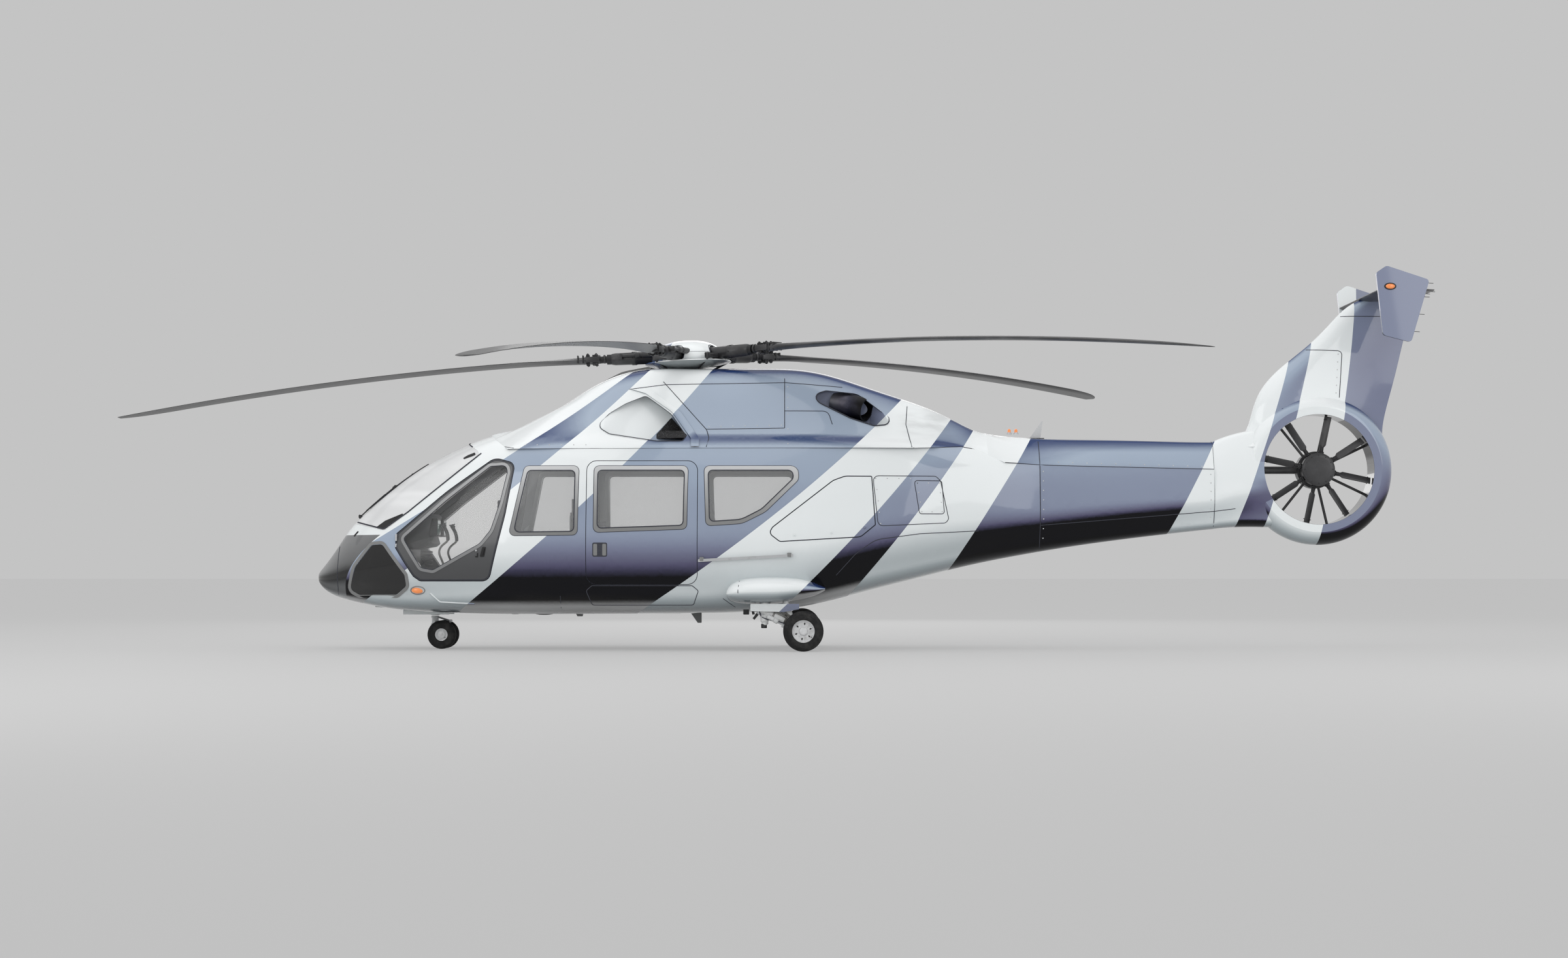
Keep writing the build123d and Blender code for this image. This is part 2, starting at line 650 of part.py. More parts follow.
wheel_y = main_track / 2
arm_y = wheel_y - main_tyre_width / 2 - 75
axle_z = main_tyre_radius
leg = rod((-40, -arm_y, 460), (main_axle_x, -arm_y, axle_z), 52, 40)
leg = leg + rod((-40, -arm_y, 700), (-40, -arm_y, 440), 58)
leg = leg + rod((150, -arm_y, 700), (270, -arm_y, 330), 34)
leg = leg + across_disc(main_axle_x, -wheel_y - axle_reach, -arm_y + 45, axle_z, 30)
leg = leg - sponson
for side, turn in (("left", lambda s: s), ("right", mirrored)):
    outside = turn(leg) - hull_outer
    export_step(outside.solids().sort_by(SortBy.VOLUME)[-1], f"parts/main_leg_{side}.step")


def tyre(x, y, z, radius, width, bead):
    corners = [(bead, -width / 2), (radius, -width / 2), (radius, width / 2), (bead, width / 2)]
    face = rounded(corners, [12, 0.42 * width, 0.42 * width, 12])
    return Pos(x, y, z) * revolve(Plane.XY * face, Axis.Y)


def rim(x, y, z, radius, width, bore, side):
    """Wheel disc; side is the outward direction, where the bore is closed."""
    disc = across_disc(x, y - width / 2, y + width / 2, z, radius)
    dish = across_disc(x, y + side * width * 0.34, y + side * width * 0.5, z, radius - 14)
    cap = across_disc(x, y + side * width * 0.2, y + side * width * 0.46, z, 38)
    bore_cut = across_disc(x, y - side * width * 0.6, y + side * width * 0.2, z, bore)
    return (disc - dish) + cap - bore_cut


main_tyre = tyre(main_axle_x, -wheel_y, axle_z, main_tyre_radius, main_tyre_width, main_rim_radius)
main_rim = rim(main_axle_x, -wheel_y, axle_z, main_rim_radius, main_tyre_width * 0.8, 30 + bearing_gap, -1)
for side, turn in (("left", lambda s: s), ("right", mirrored)):
    export_step(turn(main_tyre), f"parts/main_tyre_{side}.step")
    export_step(turn(main_rim), f"parts/main_rim_{side}.step")

# Nose gear
nose_y = nose_track / 2
nose_z = nose_tyre_radius
nose_leg = rod((nose_strut_x, 0, 560), (nose_strut_x, 0, 395), 52) - hull_outer
nose_leg = nose_leg.solids().sort_by(Axis.Z)[0]
fork = rod((nose_strut_x, 0, 387), (nose_strut_x, 0, 230), 40)
fork = fork + rod((nose_strut_x, 0, 250), (nose_axle_x, 0, nose_z), 38)
fork = fork + across_disc(nose_axle_x, -nose_y - axle_reach, nose_y + axle_reach, nose_z, 22)
fork = fork - across_disc(nose_strut_x, -60, 60, tow_hole_z, tow_hole_radius)
export_step(nose_leg, "parts/nose_leg.step")
export_step(fork, "parts/nose_fork.step")
nose_tyre = tyre(nose_axle_x, -nose_y, nose_z, nose_tyre_radius, nose_tyre_width, nose_rim_radius)
nose_rim = rim(nose_axle_x, -nose_y, nose_z, nose_rim_radius, nose_tyre_width * 0.8, 22 + bearing_gap, -1)
export_step(both(nose_tyre), "parts/nose_tyres.step")
export_step(both(nose_rim), "parts/nose_rims.step")

# Cabin fittings
floor = block(-4380, bulkhead_x, -1500, 1500, floor_top_z - 40, floor_top_z) & cabin_space
export_step(floor, "parts/cabin_floor.step")
panel_body = block(-4330, -4190, -480, 480, 900, 1180) + block(-4300, -3860, -120, 120, floor_top_z, 900)
export_step(panel_body, "parts/instrument_panel.step")


def seat(x, y, forward=-1):
    """Seat on the floor with its back behind the cushion."""
    cushion = block(x - 230, x + 230, y - 220, y + 220, floor_top_z + 260, floor_top_z + 380)
    legs = block(x - 150, x + 150, y - 160, y + 160, floor_top_z, floor_top_z + 260)
    back_x = x - forward * 230
    back = block(back_x, back_x - forward * 110, y - 220, y + 220, floor_top_z + 300, floor_top_z + 1010)
    head = block(back_x, back_x - forward * 90, y - 130, y + 130, floor_top_z + 1010, floor_top_z + 1180)
    return cushion + legs + back + head


export_step(gather([seat(-3420, -400), seat(-3420, 400)]), "parts/pilot_seats.step")
cabin_rows = [(-1950, 1), (-1000, -1), (-250, -1)]
cabin_seats = [seat(x, y, forward) for x, forward in cabin_rows for y in (-620, 0, 620)]
export_step(gather(cabin_seats) & cabin_space, "parts/cabin_seats.step")

# Rails, antennas, lights, steps and gear doors
rail_line = rounded([(-800, 1018), (284, 1078), (284, 1108), (-800, 1050)], 6)
rail = side_prism(rail_line, -1128, -1000)
export_step(both(rail) - hull_outer, "parts/door_rails.step")
belly_fin = side_prism(rounded([(-957, 470), (-794, 470), (-794, 303), (-841, 303)], 8), -6, 6)
small_fin = side_prism(rounded([(-2310, 470), (-2185, 470), (-2200, 380), (-2264, 380)], 8), -6, 6)
spine_fin = side_prism(rounded([(3057, 2440), (3212, 2440), (3250, 2693), (3235, 2693)], 4), -6, 6)
antennas = gather([(belly_fin - hull_outer), (small_fin - hull_outer), (spine_fin - cover_outer)])
export_step(antennas, "parts/antennas.step")
beacon = (Pos(2895, 0, 2520) * Cylinder(45, 120)) - cover_outer
export_step(beacon.solids().sort_by(Axis.Z)[-1], "parts/beacon.step")
gear_door_line = [(-203, 540), (-203, 458), (180, 448), (353, 480), (353, 540)]
gear_door = side_prism(rounded(gear_door_line, 10), -1104, -1091) - sponson
nose_door = block(-4290, -3750, -240, -226, 405, 560)


def below_hull(shape):
    """Lowest piece of the shape outside the hull, and the same on the other side."""
    return gather([(s - hull_outer).solids().sort_by(Axis.Z)[0] for s in (shape, mirrored(shape))])


export_step(below_hull(gear_door), "parts/main_gear_doors.step")
export_step(below_hull(nose_door), "parts/nose_gear_doors.step")

# Cargo hook plate and jacking pads under the floor, each with its holes
hook_plate = block(hook_x - 150, hook_x + 150, -120, 120, 414, 470)
for bolt in hook_bolts:
    hook_plate = hook_plate - bolt
export_step(hook_plate - hull_outer, "parts/hook_plate.step")
pads = []
for x, y in ((-3000, 0), (-100, -600), (-100, 600)):
    pad = Pos(x, y, 450) * Cylinder(40, 90) - Pos(x, y, 413) * Cylinder(10, 16)
    pads.append(pad - hull_outer)
export_step(gather(pads), "parts/jack_pads.step")
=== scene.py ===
"""Looks of a medium twin-engine helicopter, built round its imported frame.

Metres, nose towards -X, left side towards -Y, ground at Z = 0.
"""

from math import cos, exp, pi, radians, sin, sqrt, tan

import bpy
from mathutils import Matrix, Vector


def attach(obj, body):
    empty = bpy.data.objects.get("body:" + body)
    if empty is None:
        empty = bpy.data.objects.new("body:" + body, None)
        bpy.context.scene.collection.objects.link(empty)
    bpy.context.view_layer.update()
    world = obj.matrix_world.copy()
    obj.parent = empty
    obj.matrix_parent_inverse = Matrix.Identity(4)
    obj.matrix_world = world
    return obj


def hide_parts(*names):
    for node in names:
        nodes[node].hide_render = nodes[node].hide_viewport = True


bl_info = {
    "name": "Twin Engine Helicopter",
    "version": (1, 0, 0),
    "blender": (4, 5, 0),
    "location": "View3D > Sidebar > Helicopter",
    "description": "Paint, glass, fittings and stage for a medium helicopter",
    "category": "Object",
}

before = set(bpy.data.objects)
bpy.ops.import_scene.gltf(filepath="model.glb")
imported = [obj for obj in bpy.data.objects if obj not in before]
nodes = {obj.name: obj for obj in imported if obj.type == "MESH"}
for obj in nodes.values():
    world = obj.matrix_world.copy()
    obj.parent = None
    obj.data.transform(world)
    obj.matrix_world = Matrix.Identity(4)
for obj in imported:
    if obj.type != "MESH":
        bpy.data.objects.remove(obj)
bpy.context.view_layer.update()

# Stripe edges, each through three points (x, z), from low to high
stripes = [
    # name, front edge, rear edge
    ("nose", ((-4.61, 1.247), (-3.035, 2.212), (-1.78, 3.097)), ((-4.158, 0.943), (-2.95, 1.851), (-1.51, 3.142))),
    ("cabin", ((-3.434, 0.559), (-1.612, 2.19), (-0.731, 3.176)), ((-1.397, 0.504), (0.502, 1.917), (1.491, 2.854))),
    ("engine", ((0.177, 0.501), (1.268, 1.62), (2.111, 2.655)), ((0.96, 0.671), (1.97, 1.928), (2.39, 2.541))),
    ("boom", ((2.103, 0.929), (2.47, 1.486), (3.065, 2.432)), ((4.55, 1.08), (4.701, 1.358), (5.253, 2.408))),
    ("shroud", ((5.507, 1.444), (5.937, 2.643), (6.172, 3.42)), ((5.83, 1.383), (6.219, 2.712), (6.442, 3.643))),
    ("fin", ((6.47, 1.23), (6.79, 2.741), (6.956, 4.251)), ((9, 1), (9, 2), (9, 4))),
]
nose_edge = ((-4.936, 0.641), (-4.887, 0.902), (-4.611, 1.247))
nose_top = 1.335

# Places of the main parts
fan_centre = (6.487, 0, 2.113)
duct_radius = 0.6515
main_wheel_left, main_wheel_right = (0.4, -1.19, 0.23), (0.4, 1.19, 0.23)
nose_wheel_left, nose_wheel_right = (-3.847, -0.145, 0.168), (-3.847, 0.145, 0.168)

# The photograph's camera, level with the cabin floor and tilted up a little
camera_place = (0.18, -30.35, 0.906)
camera_tilt = radians(92.074)
focal_pixels = 3921.7
picture_width = 2400
sensor = 36

# Directions
up, down = (0, 0, 1), (0, 0, -1)
left, right = (0, -1, 0), (0, 1, 0)
aft = (1, 0, 0)
origin = (0, 0, 0)


def node_sum(operation, turned=False):
    """A method of Flow that adds one Math node."""

    def method(self, *other):
        values = (self, *other)
        return self.board.add("ShaderNodeMath", {"operation": operation},
            dict(enumerate(values[::-1] if turned else values)))

    return method


class Flow:
    """A socket of a material's node tree; sums and products on it add Math nodes."""

    def __init__(self, board, socket):
        self.board = board
        self.socket = socket

    __add__, __radd__ = node_sum("ADD"), node_sum("ADD", True)
    __sub__, __rsub__ = node_sum("SUBTRACT"), node_sum("SUBTRACT", True)
    __mul__, __rmul__ = node_sum("MULTIPLY"), node_sum("MULTIPLY", True)
    __truediv__ = node_sum("DIVIDE")
    __gt__, __lt__ = node_sum("GREATER_THAN"), node_sum("LESS_THAN")
    __abs__ = node_sum("ABSOLUTE")
    least = node_sum("MINIMUM")

    def eased(self, start, end):
        """0 below start, 1 above end, smooth between."""
        return self.board.add(
            "ShaderNodeMapRange",
            {"interpolation_type": "SMOOTHSTEP", "clamp": True},
            {"Value": self, "From Min": start, "From Max": end, "To Min": 0, "To Max": 1},
        )


class Board:
    """The node tree of a new material, or of an owner that exists."""

    def __init__(self, name, owner=None):
        self.owner = owner or bpy.data.materials.new(name)
        self.owner.use_nodes = True
        self.tree = self.owner.node_tree
        self.tree.nodes.clear()
        self.coordinates = None

    def add(self, kind, settings=None, values=None, out=0):
        """One node: its type, its settings, the values or links of its sockets, and which output to use."""
        node = self.tree.nodes.new(kind)
        for key, value in (settings or {}).items():
            if key == "stops":
                ramp = node.color_ramp.elements
                while len(ramp) < len(value):
                    ramp.new(0.5)
                for element, (place, colour) in zip(ramp, value):
                    element.position = place
                    element.color = (*colour, 1)
            else:
                setattr(node, key, value)
        for key, value in (values or {}).items():
            socket = node.inputs[key]
            if isinstance(value, Flow):
                self.tree.links.new(value.socket, socket)
            else:
                socket.default_value = value
        return Flow(self, node.outputs[out])

    def place(self):
        """Object coordinates, which are the frame's own metres."""
        if self.coordinates is None:
            self.coordinates = self.tree.nodes.new("ShaderNodeTexCoord")
        return Flow(self, self.coordinates.outputs["Object"])

    def axes(self):
        """x, y and z of the place."""
        return self.parts(self.place())

    def parts(self, vector):
        split = self.tree.nodes.new("ShaderNodeSeparateXYZ")
        self.tree.links.new(vector.socket, split.inputs[0])
        return [Flow(self, split.outputs[k]) for k in range(3)]

    def facing(self, axis):
        """The face's normal along an axis, from -1 to 1."""
        self.place()
        return self.parts(Flow(self, self.coordinates.outputs["Normal"]))[axis]

    def noise(self, scale, detail=3, roughness=0.5, vector=None, distortion=0):
        values = {"Scale": scale, "Detail": detail, "Roughness": roughness, "Distortion": distortion}
        return self.add("ShaderNodeTexNoise", None, {"Vector": vector or self.place(), **values})

    def wave(self, direction, scale, distortion, detail=2):
        values = {"Vector": self.place(), "Scale": scale, "Distortion": distortion, "Detail": detail}
        return self.add("ShaderNodeTexWave", {"bands_direction": direction}, values, out=1)

    def cells(self, scale):
        """Distance to the edges of a web of cells."""
        values = {"Vector": self.place(), "Scale": scale}
        return self.add("ShaderNodeTexVoronoi", {"feature": "DISTANCE_TO_EDGE"}, values)

    def stretched(self, scale):
        """The place stretched along the axes."""
        return self.add("ShaderNodeMapping", None, {"Vector": self.place(), "Scale": scale})

    def mixed(self, share, first, second):
        """Colour from first at share 0 to second at share 1."""
        first = first if isinstance(first, Flow) else (*first, 1)
        second = second if isinstance(second, Flow) else (*second, 1)
        return self.add("ShaderNodeMix", {"data_type": "RGBA"}, {0: share, 6: first, 7: second}, out=2)

    def ramp(self, share, stops):
        return self.add("ShaderNodeValToRGB", {"stops": stops}, {0: share})

    def bump(self, height, depth, strength=1):
        return self.add("ShaderNodeBump", None, {"Height": height, "Distance": depth, "Strength": strength})

    def surface(self, **values):
        """Principled shader with its sockets given by name, spaces as underscores."""
        named = {key.replace("_", " "): value for key, value in values.items()}
        for key, value in named.items():
            if isinstance(value, tuple) and len(value) == 3:
                named[key] = (*value, 1)
        return self.add("ShaderNodeBsdfPrincipled", None, named)

    def finished(self, shader, out="ShaderNodeOutputMaterial"):
        end = self.tree.nodes.new(out)
        self.tree.links.new(shader.socket, end.inputs["Surface"])
        return self.owner

    def painted(self, **values):
        return self.finished(self.surface(**values))

    def glazed(self, colour, cover, index, share, rough=0.03):
        """A painted glare over a clear view, with gloss that grows at grazing angles."""
        # Painted reflection: a pale colour laid over the view, as much as cover says
        glare_shader = self.surface(Base_Color=colour, Roughness=rough, Alpha=cover, Specular_IOR_Level=0.6)
        gloss = self.add("ShaderNodeBsdfGlossy", None, {"Color": (1, 1, 1, 1), "Roughness": rough})
        sheen = self.add("ShaderNodeFresnel", None, {"IOR": index})
        return self.finished(self.add("ShaderNodeMixShader", None, {0: sheen * share, 1: glare_shader, 2: gloss}))


def rgb(red, green, blue):
    """Linear colour from the 0 to 255 numbers that a screen shows."""
    return tuple(((v / 255 + 0.055) / 1.055) ** 2.4 if v > 10 else v / 255 / 12.92 for v in (red, green, blue))


def bend_through(points):
    """Factors of x = a + b z + c z z through three (x, z) points."""
    (x0, z0), (x1, z1), (x2, z2) = points
    lower = (x1 - x0) / (z1 - z0)
    c = ((x2 - x1) / (z2 - z1) - lower) / (z2 - z0)
    b = lower - c * (z0 + z1)
    return x0 - b * z0 - c * z0 * z0, b, c


def edge_at(points, z):
    a, b, c = bend_through(points)
    return (z * c + b) * z + a


def stripe_share(board):
    """1 inside the slate stripes, 0 on the white."""
    x, y, z = board.axes()
    share = None
    for name, front, rear in stripes:
        inside = (x > edge_at(front, z)) * (x < edge_at(rear, z))
        share = inside if share is None else share + inside
    return share.least(1)


# Materials
made = {}


def finish(name):
    """The material of that name, made when it is first asked for."""
    if name not in made:
        made[name] = makers[name](name)
    return made[name]


def livery(name):
    """White gloss paint with slate stripes, a dark nose and grime under the belly; light, shade and reflections are
    painted in by which way each face looks.
    """
    look = bpy.context.scene.helicopter_paint
    board = Board(name)
    x, y, z = board.axes()
    # Painted light: tone is how far a face looks up, and the ramps below paint shade and reflections by it
    tone = board.facing(2) * 0.5 + 0.5
    # Painted shade: the white turns grey on faces that look down
    white = board.ramp(tone, [
        (0, rgb(120, 128, 132)),
        (0.2, rgb(168, 178, 182)),
        (0.36, rgb(214, 221, 223)),
        (0.46, look.white[:]),
        (1, rgb(246, 249, 250)),
    ])
    # Painted shade and reflections: the slate turns black on faces that look down, pale on faces that look a little
    # up, and navy on top
    slate = board.ramp(tone, [
        (0, rgb(40, 41, 44)),
        (0.2, rgb(6, 6, 8)),
        (0.34, rgb(7, 7, 14)),
        (0.39, rgb(84, 82, 112)),
        (0.48, look.slate[:]),
        (0.6, rgb(158, 172, 192)),
        (0.74, rgb(166, 180, 198)),
        (0.86, rgb(38, 62, 112)),
        (1, rgb(30, 38, 78)),
    ])
    share = stripe_share(board)
    plate = (abs(y) > 1.015) * (x > 6)
    outward = board.facing(1)
    inner_face = plate * (outward * y < 0) * (x < 7.207)
    share = (share * (1 - plate) + plate * (1 - inner_face)).least(1)
    paint = board.mixed(share, white, slate)
    # Painted reflection: deep navy along the top of the stripes on the boom
    boom_top_reflection = share * (z - 2.3).eased(0, 0.16) * (x > 2.6) * (x < 5.6)
    paint = board.mixed(boom_top_reflection, paint, rgb(22, 52, 104))
    # Painted reflection of the floor: light grey on the downward faces of the stripes forward of the boom
    sill = share * (x < 1.4) * (0.24 - tone).eased(0, 0.16)
    paint = board.mixed(sill, paint, rgb(172, 173, 174))
    inside = (outward * y < -0.02) * (abs(y) < 1) * (abs(x + 1.5) < 3) * (abs(z - 1.44) < 0.84)
    paint = board.mixed(inside, paint, rgb(150, 151, 153))
    duct_x = x - fan_centre[0]
    duct_z = z - fan_centre[2]
    duct = (duct_x * duct_x + duct_z * duct_z < duct_radius * duct_radius) * (abs(y) < 0.19)
    paint = board.mixed(duct, paint, rgb(42, 42, 44))
    nose = (x < edge_at(nose_edge, z)) * (z < nose_top)
    # Painted reflections on the black nose: grey on faces that look down and up, black on faces that look sideways
    shade = board.ramp(tone, [
        (0, rgb(196, 199, 200)),
        (0.2, rgb(120, 122, 124)),
        (0.4, rgb(8, 8, 9)),
        (0.53, rgb(10, 10, 11)),
        (0.6, rgb(72, 73, 74)),
        (0.7, rgb(128, 129, 130)),
        (0.85, rgb(160, 161, 162)),
        (1, rgb(180, 181, 182)),
    ])
    paint = board.mixed(nose, paint, shade)
    clouds = board.noise(1.7, 4)
    streaks = board.noise(1, 5, vector=board.stretched((1.2, 6, 9)))
    grime = (0.62 - z).eased(-0.12, 0.3) * streaks.eased(0.42, 0.7) * 0.22
    paint = board.mixed(grime, paint, rgb(96, 92, 86))
    soot = (1 - abs(z - 2.66) * 3.2).eased(0, 1) * (x - 1.45).eased(0, 0.25) * (3.4 - x).eased(0, 1.6)
    paint = board.mixed(soot * streaks.eased(0.35, 0.75) * 0.28, paint, rgb(70, 68, 66))
    rough = 0.16 + clouds * 0.08 + grime * 0.6
    peel = board.bump(board.noise(110, 2), 0.00025, 0.35)
    return board.painted(
        Base_Color=paint,
        Roughness=rough,
        Normal=peel,
        Coat_Weight=0.9 * (1 - share * (0.42 - tone).eased(0, 0.06)),
        Coat_Roughness=0.04,
        Specular_IOR_Level=0.22,
    )


def door_grey(name):
    """Satin dark grey of the crew doors, with painted light: lighter towards the top, darker low down."""
    board = Board(name)
    x, y, z = board.axes()
    # Painted light and shade: the grey is darker low on the door and lighter up high
    height = z.eased(0.8, 2.2)
    colour = board.ramp(height, [
        (0, rgb(66, 67, 69)),
        (0.35, rgb(84, 85, 87)),
        (0.75, rgb(112, 113, 114)),
        (1, rgb(96, 97, 98)),
    ])
    speck = board.noise(900, 2)
    colour = board.mixed(speck * 0.12, colour, rgb(140, 140, 142))
    grain = board.bump(board.noise(420, 3), 0.0002, 0.4)
    return board.painted(
        Base_Color=colour, Roughness=0.3 + speck * 0.1, Normal=grain, Coat_Weight=0.25, Coat_Roughness=0.12
    )


def lining_grey(name):
    """Lighter grey lining round the crew door glass, with painted light: paler towards the top."""
    board = Board(name)
    x, y, z = board.axes()
    speck = board.noise(700, 2)
    # Painted light: the lining pales with height
    colour = board.mixed(z.eased(1, 2.1), rgb(136, 137, 138), rgb(176, 177, 178))
    colour = board.mixed(speck * 0.12, colour, rgb(96, 96, 98))
    return board.painted(Base_Color=colour, Roughness=0.4 + speck * 0.1, Normal=board.bump(speck, 0.0002, 0.4))


def frame_grey(name):
    """Pale grey of the window surrounds, with a painted highlight on top and painted shade at the sill."""
    board = Board(name)
    x, y, z = board.axes()
    # Painted highlight up high and painted shade low, by height
    colour = board.ramp(z.eased(1.3, 2.15), [
        (0, rgb(132, 133, 133)),
        (0.3, rgb(150, 151, 151)),
        (0.8, rgb(182, 183, 184)),
        (1, rgb(208, 209, 210)),
    ])
    speck = board.noise(600, 2)
    colour = board.mixed(speck * 0.1, colour, rgb(90, 90, 92))
    grain = board.bump(speck, 0.0002, 0.3)
    return board.painted(Base_Color=colour, Roughness=0.34 + speck * 0.08, Normal=grain)


def pale_pane(name, painted_glare):
    """Thin clear glass under a pale painted glare."""
    board = Board(name)
    return board.glazed(rgb(240, 242, 243), painted_glare + board.noise(2) * 0.03, 1.35, 0.5)


def cabin_pane(name):
    return pale_pane(name, 0.13)


def door_pane(name):
    return pale_pane(name, 0.03)


def screen_pane(name):
    """Windshield and chin panes: painted reflection in bright streaks up high, painted shade round the feet."""
    board = Board(name)
    x, y, z = board.axes()
    # Painted shade: the panes below the panel are nearly black
    low = (1.24 - z).eased(-0.02, 0.02)
    # Painted reflection: pale streaks cover most of the upper windshield
    bands = board.noise(1, 2, vector=board.stretched((0.7, 0.4, 2.6)), distortion=0.3)
    streaks = bands.eased(0.4, 0.62) * 0.22 + 0.76
    share = {"Value": low, "From Min": 0, "From Max": 1, "To Min": streaks, "To Max": 0.82}
    cover = board.add("ShaderNodeMapRange", None, share)
    return board.glazed(board.mixed(low, rgb(250, 251, 252), rgb(9, 9, 10)), cover, 1.4, 0.6)


def composite(name, tone=(38, 38, 40), pale=(96, 96, 98), rough=0.38):
    """Dark composite with a faint cross weave and rubbed patches."""
    board = Board(name)
    weave = board.wave("DIAGONAL", 120, 0.6, 1)
    clouds = board.noise(3.2, 5)
    fine = board.noise(60, 4)
    colour = board.mixed(clouds.eased(0.4, 0.72) * 0.35, rgb(*tone), rgb(*pale))
    colour = board.mixed(fine.eased(0.62, 0.8) * 0.2, colour, rgb(120, 120, 122))
    grain = board.bump(weave * 0.5 + fine, 0.0004, 0.35)
    return board.painted(
        Base_Color=colour, Roughness=rough + clouds * 0.14, Normal=grain, Coat_Weight=0.2, Coat_Roughness=0.2
    )


def rotor_blade(name):
    return composite(name, (44, 44, 46), (104, 104, 106), 0.34)


def dark_plastic(name):
    return composite(name, (24, 24, 26), (52, 52, 54), 0.42)


def fan_dark(name):
    return composite(name, (48, 48, 50), (92, 92, 94), 0.36)


def hub_metal(name):
    """Dark coated steel with bright rubbed spots and oil film."""
    board = Board(name)
    clouds = board.noise(14, 5, 0.6)
    fine = board.noise(170, 3)
    rubbed = clouds.eased(0.58, 0.75)
    colour = board.mixed(rubbed, rgb(40, 40, 42), rgb(120, 120, 122))
    colour = board.mixed(fine.eased(0.6, 0.75) * 0.35, colour, rgb(18, 17, 16))
    scuffs = board.bump(fine + clouds, 0.0006, 0.4)
    return board.painted(
        Base_Color=colour, Metallic=0.35 + rubbed * 0.5, Roughness=0.34 + fine * 0.2, Normal=scuffs
    )


def bright_metal(name):
    """Machined light alloy with fine turning lines and a little grease."""
    board = Board(name)
    clouds = board.noise(9, 5, 0.6)
    lines = board.noise(26, 3, vector=board.stretched((1, 1, 14)))
    colour = board.mixed(clouds.eased(0.5, 0.8) * 0.5, rgb(206, 208, 210), rgb(122, 120, 116))
    scuffs = board.bump(lines, 0.0004, 0.3)
    return board.painted(
        Base_Color=colour, Metallic=0.75, Roughness=0.24 + clouds * 0.22, Normal=scuffs
    )


def leg_paint(name):
    """Pale enamel of the landing gear, chipped and dusty."""
    board = Board(name)
    clouds = board.noise(7, 5, 0.6)
    chips = board.noise(46, 4, 0.7).eased(0.66, 0.7)
    colour = board.mixed(clouds.eased(0.45, 0.8) * 0.4, rgb(216, 218, 218), rgb(150, 148, 142))
    colour = board.mixed(chips, colour, rgb(92, 92, 92))
    grain = board.bump(1 - chips, 0.0004, 0.5)
    return board.painted(
        Base_Color=colour, Metallic=chips * 0.6, Roughness=0.32 + clouds * 0.2, Normal=grain, Coat_Weight=0.15
    )


def mottled(name, scale, low, high, share, first, second, grain, depth, rough, spread_of_rough, **values):
    """A colour clouded with a second one over a fine grain."""
    board = Board(name)
    clouds = board.noise(scale, 5, 0.6)
    colour = board.mixed(clouds.eased(low, high) * share, rgb(*first), rgb(*second))
    bumps = board.bump(board.noise(grain, 3), depth, values.pop("strength"))
    return board.painted(Base_Color=colour, Roughness=rough + clouds * spread_of_rough, Normal=bumps, **values)


def rubber(name):
    """Matt tyre rubber with dust in its pores."""
    return mottled(name, 11, 0.4, 0.75, 0.6, (34, 34, 35), (74, 73, 71), 240, 0.0006, 0.72, 0.16, strength=0.5,
        Specular_IOR_Level=0.3)


def wheel_white(name):
    """Enamelled wheel disc, clouded with brake dust."""
    return mottled(name, 16, 0.48, 0.8, 0.45, (226, 227, 228), (140, 136, 130), 150, 0.0003, 0.3, 0.2, strength=0.3,
        Metallic=0.15, Coat_Weight=0.3)


def cast_metal(name):
    """Rough cast casings of gearbox and engines."""
    board = Board(name)
    clouds = board.noise(5, 5, 0.6)
    pits = board.noise(90, 4, 0.7)
    colour = board.mixed(clouds.eased(0.4, 0.7), rgb(150, 150, 148), rgb(96, 94, 90))
    grain = board.bump(pits, 0.0012, 0.6)
    return board.painted(Base_Color=colour, Metallic=0.7, Roughness=0.48 + pits * 0.2, Normal=grain)


def hot_steel(name):
    """Exhaust steel, blue-grey at the front and darkening aft, with painted shade deep in the exhaust recess."""
    board = Board(name)
    x, y, z = board.axes()
    clouds = board.noise(8, 5, 0.6)
    # Painted shade: the steel darkens towards the back of the recess
    recess_shade = (x * 2.6 - 1.9 + clouds * 0.5).eased(0, 1.2)
    colour = board.ramp(recess_shade, [
        (0, rgb(150, 150, 154)),
        (0.4, rgb(112, 110, 120)),
        (0.7, rgb(66, 66, 80)),
        (1, rgb(30, 29, 30)),
    ])
    grain = board.bump(board.noise(60, 4, vector=board.stretched((1, 8, 8))), 0.0006, 0.4)
    return board.painted(Base_Color=colour, Metallic=0.85, Roughness=0.32 + clouds * 0.25, Normal=grain)


def cabin_trim(name):
    """Grey moulded lining with a leather grain."""
    board = Board(name)
    cells = board.cells(260)
    clouds = board.noise(2.4, 4)
    colour = board.mixed(clouds * 0.5, rgb(112, 113, 115), rgb(84, 85, 87))
    grain = board.bump(cells.eased(0, 0.12), 0.0005, 0.5)
    return board.painted(Base_Color=colour, Roughness=0.6 + clouds * 0.1, Normal=grain)


def carpet(name):
    """Short looped floor covering."""
    board = Board(name)
    tufts = board.noise(420, 2)
    clouds = board.noise(3, 4)
    colour = board.mixed(tufts, rgb(58, 59, 62), rgb(104, 105, 108))
    colour = board.mixed(clouds.eased(0.45, 0.8) * 0.25, colour, rgb(120, 114, 104))
    pile = board.bump(tufts, 0.003, 0.7)
    return board.painted(Base_Color=colour, Roughness=0.92, Normal=pile, Sheen_Weight=0.2)


